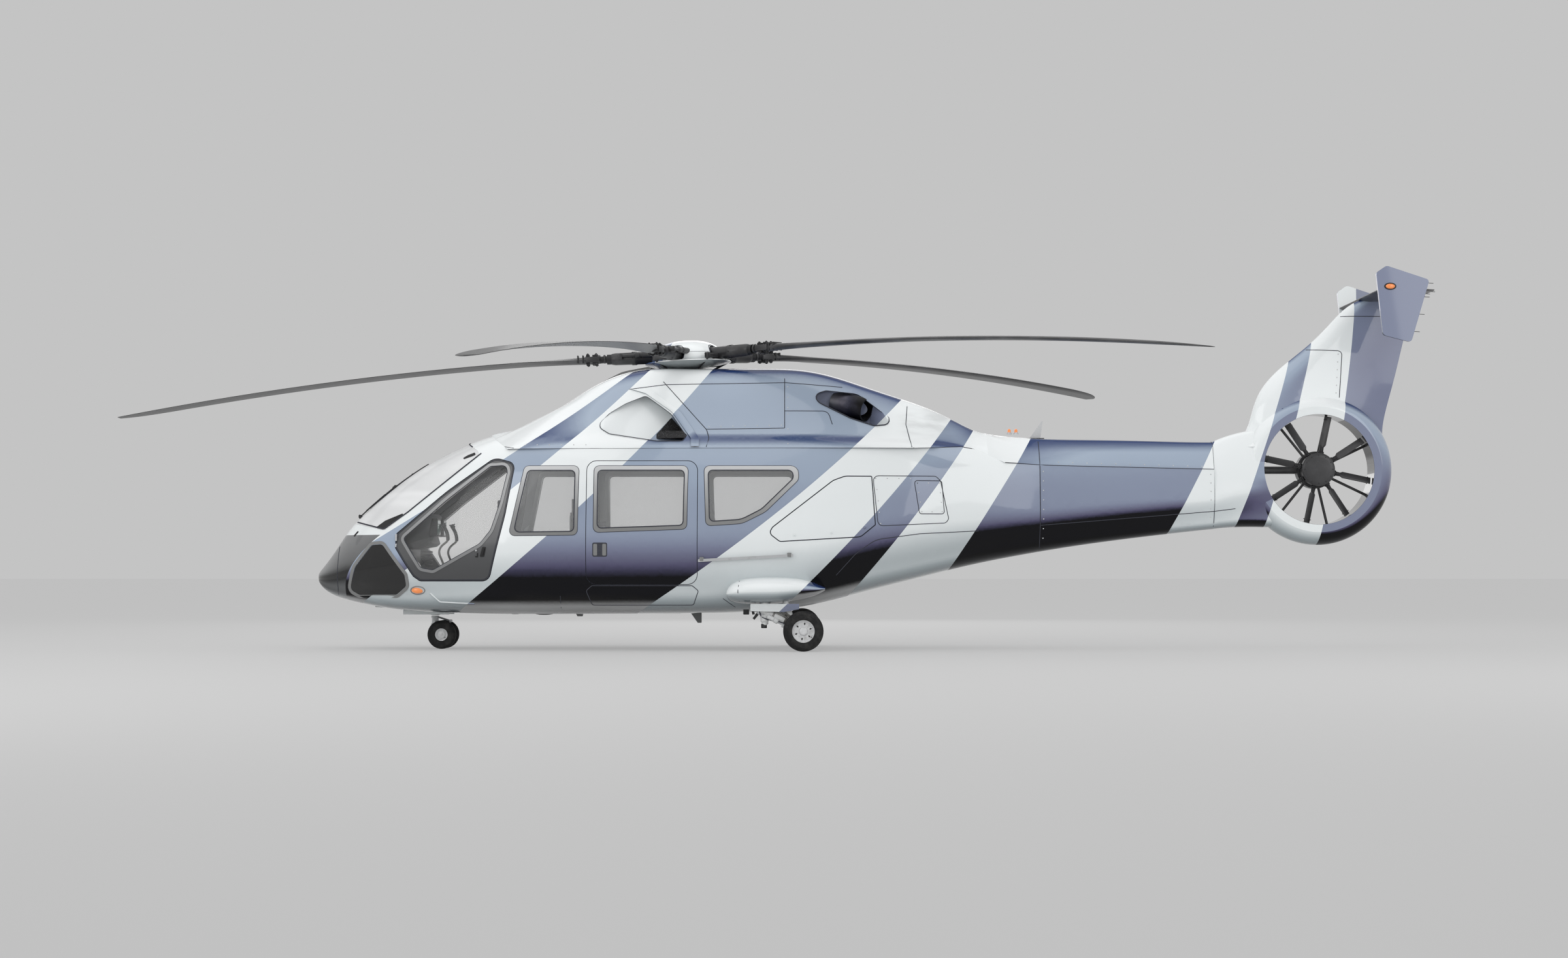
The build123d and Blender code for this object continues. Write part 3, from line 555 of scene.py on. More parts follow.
def seat_cloth(name):
    """Woven dark grey seat cloth."""
    board = Board(name)
    warp, weft, rise = (board.wave(direction, 160, 0.4) for direction in "XYZ")
    weave = (warp + weft + rise) / 3
    clouds = board.noise(6, 4)
    colour = board.mixed(weave, rgb(46, 47, 52), rgb(86, 88, 94))
    colour = board.mixed(clouds.eased(0.5, 0.8) * 0.25, colour, rgb(120, 120, 124))
    cloth = board.bump(weave, 0.0012, 0.6)
    return board.painted(Base_Color=colour, Roughness=0.86, Normal=cloth, Sheen_Weight=0.35, Sheen_Roughness=0.5)


def seal_rubber(name):
    """Dark seals and panel joints."""
    board = Board(name)
    fine = board.noise(80, 3)
    colour = board.mixed(fine, rgb(42, 44, 54), rgb(70, 72, 82))
    return board.painted(Base_Color=colour, Roughness=0.6 + fine * 0.2, Normal=board.bump(fine, 0.0004, 0.4))


def amber_lens(name):
    """Ribbed amber lens of a lamp, glowing a little: painted light in place of a bright reflector."""
    board = Board(name)
    ribs = board.wave("Z", 46, 0.2)
    colour = board.mixed(ribs * 0.5, rgb(226, 118, 52), rgb(250, 178, 108))
    return board.painted(
        Base_Color=colour,
        Roughness=0.12 + ribs * 0.08,
        Normal=board.bump(ribs, 0.001, 0.5),
        Coat_Weight=1,
        # Painted light: a faint glow in the lens's own colour
        Emission_Color=colour,
        Emission_Strength=0.25,
    )


def hood_grey(name):
    """Soft instrument hood, with painted shade darkening it towards its foot and painted light on top."""
    board = Board(name)
    x, y, z = board.axes()
    grain = board.noise(300, 3)
    # Painted shade low on the hood, painted light up high
    colour = board.mixed(z.eased(1.2, 1.6), rgb(24, 24, 25), rgb(112, 113, 115))
    colour = board.mixed(grain * 0.15, colour, rgb(70, 70, 72))
    return board.painted(Base_Color=colour, Roughness=0.62 + grain * 0.1, Normal=board.bump(grain, 0.0004, 0.5))


def webbing(name):
    """Woven straps of the harnesses."""
    board = Board(name)
    ribs = board.wave("Z", 260, 0.3)
    colour = board.mixed(ribs, rgb(92, 94, 98), rgb(142, 144, 148))
    return board.painted(Base_Color=colour, Roughness=0.72 + ribs * 0.1, Normal=board.bump(ribs, 0.0006, 0.5))


def screen_dark(name):
    """Dark display glass with faint rows of generic marks."""
    board = Board(name)
    colours = {"Color1": (0.01, 0.05, 0.05, 1), "Color2": (0.02, 0.09, 0.06, 1), "Mortar": (0.004, 0.004, 0.005, 1)}
    rows = board.add(
        "ShaderNodeTexBrick", None, {"Vector": board.place(), "Scale": 26, "Mortar Size": 0.04, **colours}
    )
    rough = 0.08 + board.noise(30) * 0.05
    return board.painted(
        Base_Color=rows, Roughness=rough, Coat_Weight=1, Emission_Color=rows, Emission_Strength=0.6
    )


def mesh_dark(name):
    """Woven wire screen with black holes, laid in the air intakes as painted shade."""
    board = Board(name)
    wires = board.cells(90)
    holes = wires.eased(0.05, 0.16)
    colour = board.mixed(holes, rgb(86, 86, 88), rgb(6, 6, 7))
    return board.painted(Base_Color=colour, Roughness=0.5 + holes * 0.3, Normal=board.bump(1 - holes, 0.002, 0.7),
        Metallic=0.5)


def cap_paint(name):
    """Rotor head cap: white with a slate patch, and painted shade turning it grey on faces that look down."""
    board = Board(name)
    x, y, z = board.axes()
    upward = board.facing(2)
    patch = (x < edge_at(((-1.24, 3.4), (-1.16, 3.55), (-1.08, 3.7)), z)) * (abs(y) < 0.34)
    # Painted shade: grey where the faces look down
    white = board.mixed(upward.eased(-0.6, 0.2), rgb(150, 158, 160), rgb(240, 244, 245))
    colour = board.mixed(patch, white, rgb(66, 88, 130))
    clouds = board.noise(7, 4)
    colour = board.mixed(clouds.eased(0.5, 0.8) * 0.15, colour, rgb(120, 118, 112))
    peel = board.bump(board.noise(110, 2), 0.0003, 0.35)
    return board.painted(Base_Color=colour, Roughness=0.2 + clouds * 0.1, Normal=peel, Coat_Weight=0.6,
        Coat_Roughness=0.05)


makers = {
    maker.__name__: maker
    for maker in (
        livery, door_grey, lining_grey, frame_grey, cabin_pane, door_pane, screen_pane, composite, rotor_blade,
        dark_plastic, fan_dark, hub_metal, bright_metal, leg_paint, rubber, wheel_white, cast_metal, hot_steel,
        cabin_trim, carpet, seat_cloth, seal_rubber, amber_lens, screen_dark, hood_grey, webbing, mesh_dark,
            cap_paint,
    )
}

node_finishes = [
    # finish, nodes
    ("livery", "fuselage nose_cone cowling shaft_cover tail_boom tail_fin end_plates"),
    ("livery", "sliding_door_left sliding_door_right baggage_door_left baggage_door_right"),
    ("livery", "sponsons main_gear_doors nose_gear_doors"),
    ("door_grey", "pilot_door_left pilot_door_right"),
    ("frame_grey", "window_frames"),
    ("cabin_pane", "cabin_glass"),
    ("door_pane", "pilot_glass_left pilot_glass_right"),
    ("screen_pane", "windshield_glass"),
    ("rotor_blade", "main_blades stabilizer"),
    ("fan_dark", "fan_stator fan_rotor"),
    ("hub_metal", "rotor_hub blade_sleeves"),
    ("cap_paint", "rotor_cap"),
    ("leg_paint", "main_leg_left main_leg_right nose_leg nose_fork"),
    ("bright_metal", "door_rails hook_plate jack_pads"),
    ("cast_metal", "main_gearbox engines"),
    ("hot_steel", "exhaust_nozzles"),
    ("rubber", "main_tyre_left main_tyre_right nose_tyres"),
    ("wheel_white", "main_rim_left main_rim_right nose_rims"),
    ("carpet", "cabin_floor"),
    ("dark_plastic", "instrument_panel"),
    ("frame_grey", "antennas"),
    ("seat_cloth", "pilot_seats cabin_seats"),
    ("amber_lens", "beacon"),
]


# Modelling helpers
def let_go():
    """Leaves edit mode and deselects everything."""
    if bpy.context.object and bpy.context.object.mode != "OBJECT":
        bpy.ops.object.mode_set(mode="OBJECT")
    bpy.ops.object.select_all(action="DESELECT")


def hold(piece):
    """Makes piece the one selected, active object."""
    let_go()
    piece.select_set(True)
    bpy.context.view_layer.objects.active = piece
    return piece


def settle(parts, name, material, body="fuselage", slot=None, smooth=35):
    """Names a piece, or the whole of several parts, puts its place in its mesh, paints it and hangs it on its body."""
    piece = hold(joined(parts) if isinstance(parts, list) else parts)
    if piece.type != "MESH":
        bpy.ops.object.convert(target="MESH")
        piece = bpy.context.object
    bpy.ops.object.transform_apply()
    piece.name = name
    piece.data.materials.clear()
    piece.data.materials.append(finish(material))
    bpy.ops.object.shade_smooth_by_angle(angle=radians(smooth))
    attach(piece, body)
    return piece


def joined(parts):
    """One object from several."""
    let_go()
    for part in parts:
        part.select_set(True)
    bpy.context.view_layer.objects.active = parts[0]
    if len(parts) > 1:
        bpy.ops.object.join()
    bpy.ops.object.transform_apply()
    return bpy.context.object


def modified(piece, kind, **settings):
    """Adds a modifier and applies it."""
    hold(piece)
    modifier = piece.modifiers.new(kind.title(), kind)
    for key, value in settings.items():
        setattr(modifier, key, value)
    bpy.ops.object.modifier_apply(modifier=modifier.name)
    return piece


def block(size, centre, bevel=0.004, segments=2, turn=origin):
    """Box with rounded edges."""
    let_go()
    bpy.ops.mesh.primitive_cube_add(size=1, location=centre, rotation=[radians(a) for a in turn])
    piece = bpy.context.object
    piece.scale = size
    bpy.ops.object.transform_apply(location=False, rotation=False, scale=True)
    return modified(piece, "BEVEL", width=bevel, segments=segments, limit_method="NONE")


def spread(count, start=0):
    """Angles of evenly spread places round a circle."""
    return [2 * pi * k / count + start for k in range(count)]


def on_circle(radius, angle, height):
    return (radius * cos(angle), radius * sin(angle), height)


def along(axis):
    """Rotation that turns +Z onto axis."""
    return Vector(axis).to_track_quat("Z", "Y").to_euler()


def barrel(centre, axis, rows, sides=32):
    """Turned part: rows of (distance along the axis, radius), closed at both ends."""
    let_go()
    bpy.ops.mesh.primitive_circle_add(vertices=sides, radius=rows[0][1], fill_type="NGON",
        location=(0, 0, rows[0][0]))
    piece = bpy.context.object
    bpy.ops.object.transform_apply()
    bpy.ops.object.mode_set(mode="EDIT")
    bpy.ops.mesh.select_mode(type="FACE")
    bpy.ops.mesh.select_all(action="SELECT")
    for (z0, r0), (z1, r1) in zip(rows, rows[1:]):
        bpy.ops.mesh.extrude_region_move(TRANSFORM_OT_translate={"value": (0, 0, z1 - z0)})
        grow = r1 / r0
        bpy.ops.transform.resize(value=(grow, grow, 1), center_override=(0, 0, z1))
    bpy.ops.mesh.select_all(action="SELECT")
    bpy.ops.mesh.normals_make_consistent(inside=False)
    bpy.ops.object.mode_set(mode="OBJECT")
    piece.rotation_euler = along(axis)
    piece.location = centre
    bpy.ops.object.transform_apply()
    return piece


def tube(points, radius, closed=False, sides=2, smooth=False):
    """Round bar through points, made as a curve."""
    let_go()
    bpy.ops.curve.primitive_bezier_curve_add()
    piece = bpy.context.object
    piece.location = (0, 0, 0)
    curve = piece.data
    curve.splines.clear()
    spline = curve.splines.new("NURBS" if smooth else "POLY")
    spline.points.add(len(points) - 1)
    for point, place in zip(spline.points, points):
        point.co = (*place, 1)
    spline.use_cyclic_u = closed
    if smooth:
        spline.order_u = 4
        spline.use_endpoint_u = not closed
        spline.resolution_u = 6
    curve.dimensions = "3D"
    curve.bevel_depth = radius
    curve.bevel_resolution = sides
    curve.use_fill_caps = True
    bpy.ops.object.convert(target="MESH")
    return bpy.context.object


def copied(piece, turn=None, about=origin):
    """A copy with its own mesh, moved by a matrix about a point."""
    hold(piece)
    bpy.ops.object.duplicate()
    twin = bpy.context.object
    if turn is not None:
        middle = Matrix.Translation(Vector(about))
        twin.data.transform(middle @ turn @ middle.inverted())
    return twin


def mirrored(piece):
    """The same part on the other side."""
    twin = copied(piece)
    twin.data.transform(Matrix.Scale(-1, 4, right))
    twin.data.flip_normals()
    return twin


def paired(parts, name, material, **settings):
    """One settled piece from the left side's parts and their mirror image."""
    piece = joined(parts) if isinstance(parts, list) else parts
    return settle(joined([piece, mirrored(piece)]), name, material, **settings)


def skin_y(x, z, names="fuselage"):
    """Outer surface of the nodes, named in one string, at (x, z) on the left, or None."""
    best = None
    for name in names.split():
        hit, place, normal, index = nodes[name].ray_cast(Vector((x, -4, z)), Vector(right))
        if hit and place.y < -0.02 and (best is None or place.y < best):
            best = place.y
    return best


def skin_z(x, y, names="fuselage"):
    """Height of the nodes, named in one string, at (x, y), seen from above, or None."""
    best = None
    for name in names.split():
        hit, place, normal, index = nodes[name].ray_cast(Vector((x, y, 6)), Vector(down))
        if hit and (best is None or place.z > best):
            best = place.z
    return best


def rounded(points, radii=0, step=0.04, closed=True):
    """Outline of (x, z) corners with round corners that shrink until they fit, in even steps."""
    count = len(points)
    corners = [Vector(point) for point in points]
    radii = list(radii) if isinstance(radii, (list, tuple)) else [radii] * count
    if not closed:
        radii[0] = radii[-1] = 0
    turns = []
    for i, here in enumerate(corners):
        turns.append(pi - (corners[i - 1] - here).angle(corners[(i + 1) % count] - here, pi))
    fit = list(radii)
    for i in range(count if closed else count - 1):
        j = (i + 1) % count
        length = (corners[j] - corners[i]).length
        need = radii[i] * tan(turns[i] / 2) + radii[j] * tan(turns[j] / 2)
        if need > 0.9 * length:
            share = 0.9 * length / need
            fit[i] = min(fit[i], radii[i] * share)
            fit[j] = min(fit[j], radii[j] * share)
    line = []
    for i, here in enumerate(corners):
        if fit[i] <= 0 or turns[i] < 0.01:
            line.append(here)
            continue
        back = (corners[i - 1] - here).normalized()
        ahead = (corners[(i + 1) % count] - here).normalized()
        reach = fit[i] * tan(turns[i] / 2)
        centre = here + (back + ahead).normalized() * (fit[i] / cos(turns[i] / 2))
        first = here + back * reach - centre
        last = here + ahead * reach - centre
        parts = max(4, int(turns[i] * fit[i] / step))
        for k in range(parts + 1):
            t = k / parts
            swing = (sin((1 - t) * turns[i]) * first + sin(t * turns[i]) * last) / sin(turns[i])
            line.append(centre + swing)
    dense = []
    pairs = list(zip(line, line[1:] + line[:1]))
    for a, b in pairs if closed else pairs[:-1]:
        parts = max(1, int((b - a).length / step))
        dense += [a.lerp(b, k / parts) for k in range(parts)]
    if not closed:
        dense.append(line[-1])
    return dense


def grown(line, amount):
    """A closed outline moved outwards by amount."""
    count = len(line)
    area = sum(line[i - 1].x * line[i].y - line[i].x * line[i - 1].y for i in range(count))
    side = amount if area > 0 else -amount
    moved = []
    for i, here in enumerate(line):
        way = (line[(i + 1) % count] - line[i - 1]).normalized()
        moved.append(here + Vector((way.y, -way.x)) * side)
    return moved


def laid(line, names, radius, closed=True, lift=0, samples=None, sides=1):
    """Thin cord along an outline on the skin; samples says where the skin's place is read."""
    places = []
    for (x, z), (sx, sz) in zip(line, samples or line):
        y = skin_y(sx, sz, names)
        if y is not None:
            places.append((x, y - lift, z))
    return tube(places, radius, closed and len(places) == len(line), sides)


def flat_face(outline, holes=()):
    """Flat face in the XZ plane that looks to the left, with holes."""
    let_go()
    bpy.ops.curve.primitive_bezier_curve_add()
    curve = bpy.context.object.data
    curve.splines.clear()
    curve.dimensions = "2D"
    curve.fill_mode = "BOTH"
    for ring in (outline, *holes):
        spline = curve.splines.new("POLY")
        spline.points.add(len(ring) - 1)
        for point, (x, z) in zip(spline.points, ring):
            point.co = (x, z, 0, 1)
        spline.use_cyclic_u = True
    bpy.ops.object.convert(target="MESH")
    piece = bpy.context.object
    piece.location = (0, 0, 0)
    piece.rotation_euler = (radians(90), 0, 0)
    bpy.ops.object.transform_apply()
    return piece


def plated(points, radii, carrier, lift, thick, step=0.02):
    """Plate on the left skin of a node from its corners as (x, z)."""
    return wrapped(rounded(points, radii, step), [], carrier, lift, thick)


def wrapped(outline, holes, carrier, lift=0, thick=0.006):
    """Plate that follows the left skin of a node, standing out by thick."""
    piece = flat_face(outline, holes)
    piece.data.transform(Matrix.Translation((0, -3, 0)))
    modified(
        piece,
        "SHRINKWRAP",
        target=nodes[carrier],
        wrap_method="PROJECT",
        wrap_mode="ABOVE_SURFACE",
        use_project_y=True,
        use_negative_direction=False,
        use_positive_direction=True,
        offset=lift,
    )
    return modified(piece, "SOLIDIFY", thickness=thick, offset=1)


def bolt(centre, axis, radius=0.011, height=0.008):
    """Hexagon head on a washer, its top towards axis."""
    washer = radius * 1.35
    rows = [(0, washer), (height * 0.25, washer), (height * 0.26, radius), (height, radius),
        (height * 1.15, radius * 0.8)]
    return barrel(centre, axis, rows, 6)


def ringed(piece, count, axis, about):
    """The piece and its copies turned evenly about an axis."""
    return joined([piece] + [copied(piece, Matrix.Rotation(turn, 4, axis), about) for turn in spread(count)[1:]])


class HelicopterPaint(bpy.types.PropertyGroup):
    """Colours of the body."""

    # Each colour is what faces that look sideways get; the livery paints light and shade around it by which way a face
    # looks
    white: bpy.props.FloatVectorProperty(
        name="White", description="Base coat on the upper sides", subtype="COLOR", default=rgb(238, 243, 244)
    )
    slate: bpy.props.FloatVectorProperty(
        name="Slate", description="Stripes at mid height", subtype="COLOR", default=rgb(120, 126, 152)
    )


class HelicopterTrim(bpy.types.PropertyGroup):
    """Sizes of seams and fasteners."""

    seam: bpy.props.FloatProperty(
        name="Seam", description="Radius of the cord in panel joints", unit="LENGTH", default=0.0045
    )
    bolt: bpy.props.FloatProperty(
        name="Bolt", description="Radius of a bolt head on the rotor and wheels", unit="LENGTH", default=0.011
    )
    screw: bpy.props.FloatProperty(
        name="Screw", description="Radius of a panel fastener", unit="LENGTH", default=0.0075
    )


class HelicopterStage(bpy.types.PropertyGroup):
    """Levels of the studio."""

    sky: bpy.props.FloatProperty(name="Sky", description="Light from all round", default=0.74)
    key: bpy.props.FloatProperty(name="Key", description="Strength of the lamp overhead", subtype="POWER",
        default=420)
    floor_glow: bpy.props.FloatProperty(
        name="Floor glow", description="Share of the floor that shows the background's own tone", default=0.55
    )
    grey: bpy.props.FloatVectorProperty(
        name="Background", description="Floor and backdrop", subtype="COLOR", default=rgb(196, 196, 196)
    )


class HELI_OT_stage(bpy.types.Operator):
    """Camera at the side of the helicopter, plain floor and soft lamps"""

    bl_idname = "heli.stage"
    bl_label = "Set the stage"

    def execute(self, context):
        scene = context.scene
        look = scene.helicopter_stage
        scene.view_settings.view_transform = "Standard"
        let_go()
        bpy.ops.object.camera_add(location=camera_place, rotation=(camera_tilt, 0, 0))
        camera = context.object
        camera.name = "Camera"
        camera.data.sensor_width = sensor
        camera.data.lens = sensor * focal_pixels / picture_width
        camera.data.clip_end = 400
        scene.camera = camera
        self.backdrop(scene, look)
        self.floor(look)
        lamps = [
            # name, place, size, power
            ("Overhead", (-2, -3, 13), 16, look.key),
            ("Front side", (-11, -15, 7.5), 9, look.key * 1.1),
            ("Rear side", (13, -12, 7), 8, look.key * 0.8),
            ("Far side", (0, 16, 8), 10, look.key * 0.8),
        ]
        for name, place, size, power in lamps:
            bpy.ops.object.light_add(type="AREA", location=place)
            lamp = context.object
            lamp.name = name
            lamp.data.size = size
            lamp.data.energy = power
            lamp.rotation_euler = (Vector(place) - Vector((0.5, 0, 1.8))).to_track_quat("Z", "Y").to_euler()
        return {"FINISHED"}

    def seen(self, board):
        """1 on what the camera, a reflection or a pane shows."""
        path = board.tree.nodes.new("ShaderNodeLightPath")
        rays = [Flow(board, path.outputs[k]) for k in ("Is Camera Ray", "Is Glossy Ray", "Is Transmission Ray")]
        return (rays[0] + rays[1] + rays[2]).least(1)

    def backdrop(self, scene, look):
        scene.world = bpy.data.worlds.new("Studio")
        board = Board(None, scene.world)
        colour = board.mixed(self.seen(board), (1, 1, 1), look.grey[:])
        strength = self.seen(board) * (1 - look.sky) + look.sky
        shader = board.add("ShaderNodeBackground", None, {"Color": colour, "Strength": strength})
        board.finished(shader, "ShaderNodeOutputWorld")

    def floor(self, look):
        let_go()
        bpy.ops.mesh.primitive_plane_add(size=600, location=origin)
        ground = bpy.context.object
        ground.name = "Floor"
        board = Board("studio_floor")
        grain = board.noise(0.8, 3)
        lit = board.surface(Base_Color=rgb(213, 213, 213), Roughness=0.85 + grain * 0.1, Specular_IOR_Level=0.1)
        glow = board.add("ShaderNodeEmission", None, {"Color": (*look.grey[:], 1), "Strength": 1})
        share = self.seen(board) * look.floor_glow
        mix = board.add("ShaderNodeMixShader", None, {0: share, 1: lit, 2: glow})
        ground.data.materials.append(board.finished(mix))


class HELI_OT_paint(bpy.types.Operator):
    """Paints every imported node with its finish"""

    bl_idname = "heli.paint"
    bl_label = "Paint the frame"

    def execute(self, context):
        for name, members in node_finishes:
            for member in members.split():
                slots = nodes[member].data.materials
                if not slots:
                    slots.append(None)
                for k in range(len(slots)):
                    slots[k] = finish(name)
        return {"FINISHED"}


panel_lines = [
    # name, nodes that carry it, closed, corner, points as (x, z)
    ("side_panel_joint", "fuselage", True, 0.06, [(1.262, 1.432), (1.202, 2.011), (1.939, 2.011), (1.992, 1.958),
        (2.089, 1.507), (2.044, 1.47)]),
    ("hatch_joint", "fuselage", True, 0.03, [(1.683, 1.958), (2.007, 1.958), (2.037, 1.575), (1.744, 1.575)]),
    ("belly_joint_curve", "fuselage", False, 0.3, [(0.78, 0.868), (1, 1.11), (1.23, 1.274), (1.75, 1.345),
        (2.442, 1.381)]),
    ("belly_joint_front", "fuselage", False, 0, [(-2.383, 0.63), (-2.383, 0.49)]),
    ("belly_joint_rear", "fuselage", False, 0, [(-0.52, 0.6), (-0.38, 0.5)]),
    ("cowl_joint_upright", "cowling", False, 0, [(0.187, 3.16), (0.187, 2.568)]),
    ("cowl_joint_level", "cowling", False, 0, [(-0.715, 2.553), (0.187, 2.568)]),
    ("cowl_joint_slope", "cowling", False, 0.08, [(-1.226, 3.12), (-0.715, 2.548), (-0.685, 2.448), (-0.715, 2.34)]),
    ("cowl_joint_exhaust", "cowling", False, 0.08, [(0.187, 2.771), (0.691, 2.771), (0.74, 2.613)]),
    ("cowl_joint_aft", "cowling", False, 0.05, [(1.62, 2.84), (1.6, 2.62), (1.66, 2.345)]),
    ("cowl_joint_front", "cowling", False, 0.1, [(-3.227, 2.421), (-3.12, 2.36), (-2.934, 2.33)]),
    ("cowl_joint_crest", "cowling", False, 0.3, [(-1.62, 3.03), (-1.2, 3.085), (0.2, 3.11), (0.86, 3.06)]),
    ("sill_joint", "fuselage cowling", False, 0.1, [(-3, 2.322), (1.678, 2.337), (2.248, 2.36), (2.42, 2.33)]),
    ("boom_root_joint", "fuselage tail_boom shaft_cover", False, 0, [(3.177, 2.44), (3.177, 1.19)]),
    ("boom_tip_joint", "tail_boom tail_fin shaft_cover", False, 0, [(5.243, 2.41), (5.243, 1.44)]),
    ("boom_side_joint", "tail_boom tail_fin", False, 0.1, [(3.177, 1.449), (5.241, 1.617), (5.493, 1.648)]),
    ("spine_joint", "shaft_cover tail_boom", False, 0, [(2.707, 2.185), (3.243, 2.154), (5.24, 2.112)]),
    ("fin_joint", "tail_fin", False, 0.05, [(6.317, 3.535), (6.787, 3.519), (6.749, 2.965)]),
    ("fin_tip_joint", "tail_fin", False, 0, [(6.78, 3.93), (7.6, 3.93)]),
    ("nose_joint", "fuselage nose_cone", False, 0, [(-5.036, 1.2), (-5.036, 0.64)]),
    ("sponson_joint", "sponsons", False, 0.1, [(-0.33, 0.8), (-0.345, 0.68), (-0.33, 0.57)]),
]

fastener_rows = [
    # nodes, corners of the row, spacing
    ("fuselage", [(1.72, 1.93), (1.98, 1.93), (2.01, 1.6), (1.77, 1.6), (1.72, 1.93)], 0.09),
    ("fuselage", [(1.29, 1.46), (1.235, 1.98), (1.64, 1.98)], 0.12),
    ("cowling", [(-0.69, 2.585), (0.15, 2.6)], 0.14),
    ("cowling", [(0.225, 3.06), (0.225, 2.81)], 0.12),
    ("cowling", [(0.225, 2.735), (0.225, 2.38)], 0.12),
    ("cowling", [(-2.8, 2.365), (-2.1, 2.365)], 0.14),
    ("tail_boom shaft_cover", [(3.215, 2.08), (3.215, 1.3)], 0.1),
    ("tail_boom", [(5.2, 2.05), (5.2, 1.55)], 0.1),
    ("shaft_cover", [(3.4, 2.19), (5.1, 2.145)], 0.17),
    ("tail_fin", [(6.74, 3.48), (6.71, 3.02)], 0.09),
]


class HELI_OT_seams(bpy.types.Operator):
    """Panel joints and rows of fasteners on the skin"""

    bl_idname = "heli.seams"
    bl_label = "Lay the panel joints"

    def execute(self, context):
        look = context.scene.helicopter_trim
        for name, carriers, closed, corner, points in panel_lines:
            line = rounded(points, corner, 0.05, closed)
            paired(laid(line, carriers, look.seam, closed), name, "seal_rubber")
        self.fasteners(look.screw)
        self.boom_rings(look.seam)
        return {"FINISHED"}

    def fasteners(self, size):
        screws = []
        model = barrel(origin, left, [(-0.002, size), (0.0012, size), (0.0024, size * 0.7)], 8)
        for carriers, points, spacing in fastener_rows:
            for x, z in rounded(points, 0, spacing, False):
                y = skin_y(x, z, carriers)
                if y is not None:
                    screws.append(copied(model, Matrix.Translation((x, y, z))))
        bpy.data.objects.remove(model)
        paired(screws, "panel_screws", "bright_metal")

    def boom_rings(self, radius):
        """Joint lines over the top of the shaft cover."""
        for name, x in (("cover_joint_front", 3.18), ("cover_joint_rear", 5.24)):
            heights = [(y, skin_z(x, y, "shaft_cover")) for y in (-0.09 + 0.0225 * k for k in range(9))]
            settle(tube([(x, y, z) for y, z in heights if z is not None], radius, sides=1), name, "seal_rubber")


openings = {
    # name: corners as (x, z), corner radii
    "pilot_door": (
        [(-4.308, 1.18), (-4.308, 1.345), (-3.7, 1.845), (-3.154, 2.225), (-2.935, 2.165), (-2.915, 2.095),
            (-3.01, 1.545), (-3.195, 0.795), (-4.01, 0.795), (-4.09, 0.85)],
        [0.03, 0.06, 2.5, 0.16, 0.11, 0.11, 1.5, 0.11, 0.06, 0.06],
    ),
    "pilot_glass": (
        [(-4.215, 1.29), (-3.7, 1.735), (-3.2, 2.12), (-3.01, 2.13), (-2.995, 2.05), (-3.075, 1.69), (-3.175, 1.38),
            (-3.3, 1.225), (-3.85, 0.925), (-3.99, 0.95)],
        [0.04, 2.5, 0.06, 0.06, 0.06, 0.8, 0.2, 0.2, 0.06, 0.06],
    ),
    "front_window": (
        [(-2.799, 2.123), (-2.17, 2.123), (-2.18, 1.324), (-2.971, 1.317), (-2.948, 1.429)],
        [0.06, 0.06, 0.06, 0.06, 0.2],
    ),
    "front_glass": (
        [(-2.76, 2.07), (-2.216, 2.07), (-2.222, 1.368), (-2.905, 1.36), (-2.895, 1.44)],
        [0.05, 0.05, 0.05, 0.05, 0.2],
    ),
    "slide_door": ([(-2.087, 2.185), (-0.807, 2.185), (-0.807, 0.757), (-2.087, 0.757)], 0.12),
    "slide_window": ([(-2, 2.123), (-0.918, 2.123), (-0.93, 1.392), (-2, 1.354)], 0.06),
    "slide_glass": ([(-1.955, 2.072), (-0.962, 2.072), (-0.974, 1.438), (-1.955, 1.404)], 0.05),
    "rear_window": (
        [(-0.738, 2.123), (0.345, 2.123), (0.35, 1.96), (-0.03, 1.59), (-0.3, 1.455), (-0.716, 1.429)],
        [0.06, 0.09, 0.09, 0.3, 0.3, 0.06],
    ),
    "rear_glass": (
        [(-0.69, 2.072), (0.285, 2.072), (0.285, 1.975), (-0.075, 1.625), (-0.31, 1.505), (-0.672, 1.482)],
        [0.05, 0.06, 0.06, 0.3, 0.3, 0.05],
    ),
    "baggage_door": (
        [(0, 1.345), (0.045, 1.42), (0.742, 1.96), (0.88, 2.01), (1.195, 2.01), (1.235, 1.443), (1.06, 1.3),
            (0.13, 1.245)],
        [0.06, 0.06, 0.2, 0.2, 0.02, 0.02, 0.12, 0.06],
    ),
    "chin": (
        [(-4.87, 0.7), (-4.8, 0.96), (-4.6, 1.215), (-4.47, 1.225), (-4.19, 0.87), (-4.175, 0.74), (-4.3, 0.64),
            (-4.76, 0.64)],
        [0.06, 0.12, 0.06, 0.06, 0.06, 0.06, 0.06, 0.06],
    ),
    "windshield": (
        [(-4.905, 1.478), (-4.45, 1.385), (-4.165, 1.59), (-3.31, 2.268), (-3.494, 2.391), (-3.56, 2.7), (-5.1, 2.3)],
        [0.04, 0.06, 0.06, 0.06, 0.03, 0.03, 0.03],
    ),
    "intake": (
        [(-1.985, 2.59), (-1.84, 2.75), (-1.662, 2.86), (-1.429, 2.955), (-1.128, 2.735), (-0.905, 2.412),
            (-1.28, 2.412), (-1.84, 2.5)],
        [0.06, 0.2, 0.2, 0.06, 0.3, 0.06, 0.2, 0.06],
    ),
    "exhaust": (
        [(0.5, 2.96), (0.68, 3.02), (1.04, 2.985), (1.5, 2.63), (1.23, 2.6), (0.95, 2.69), (0.6, 2.865)],
        [0.06, 0.12, 0.2, 0.06, 0.12, 0.2, 0.1],
    ),
}

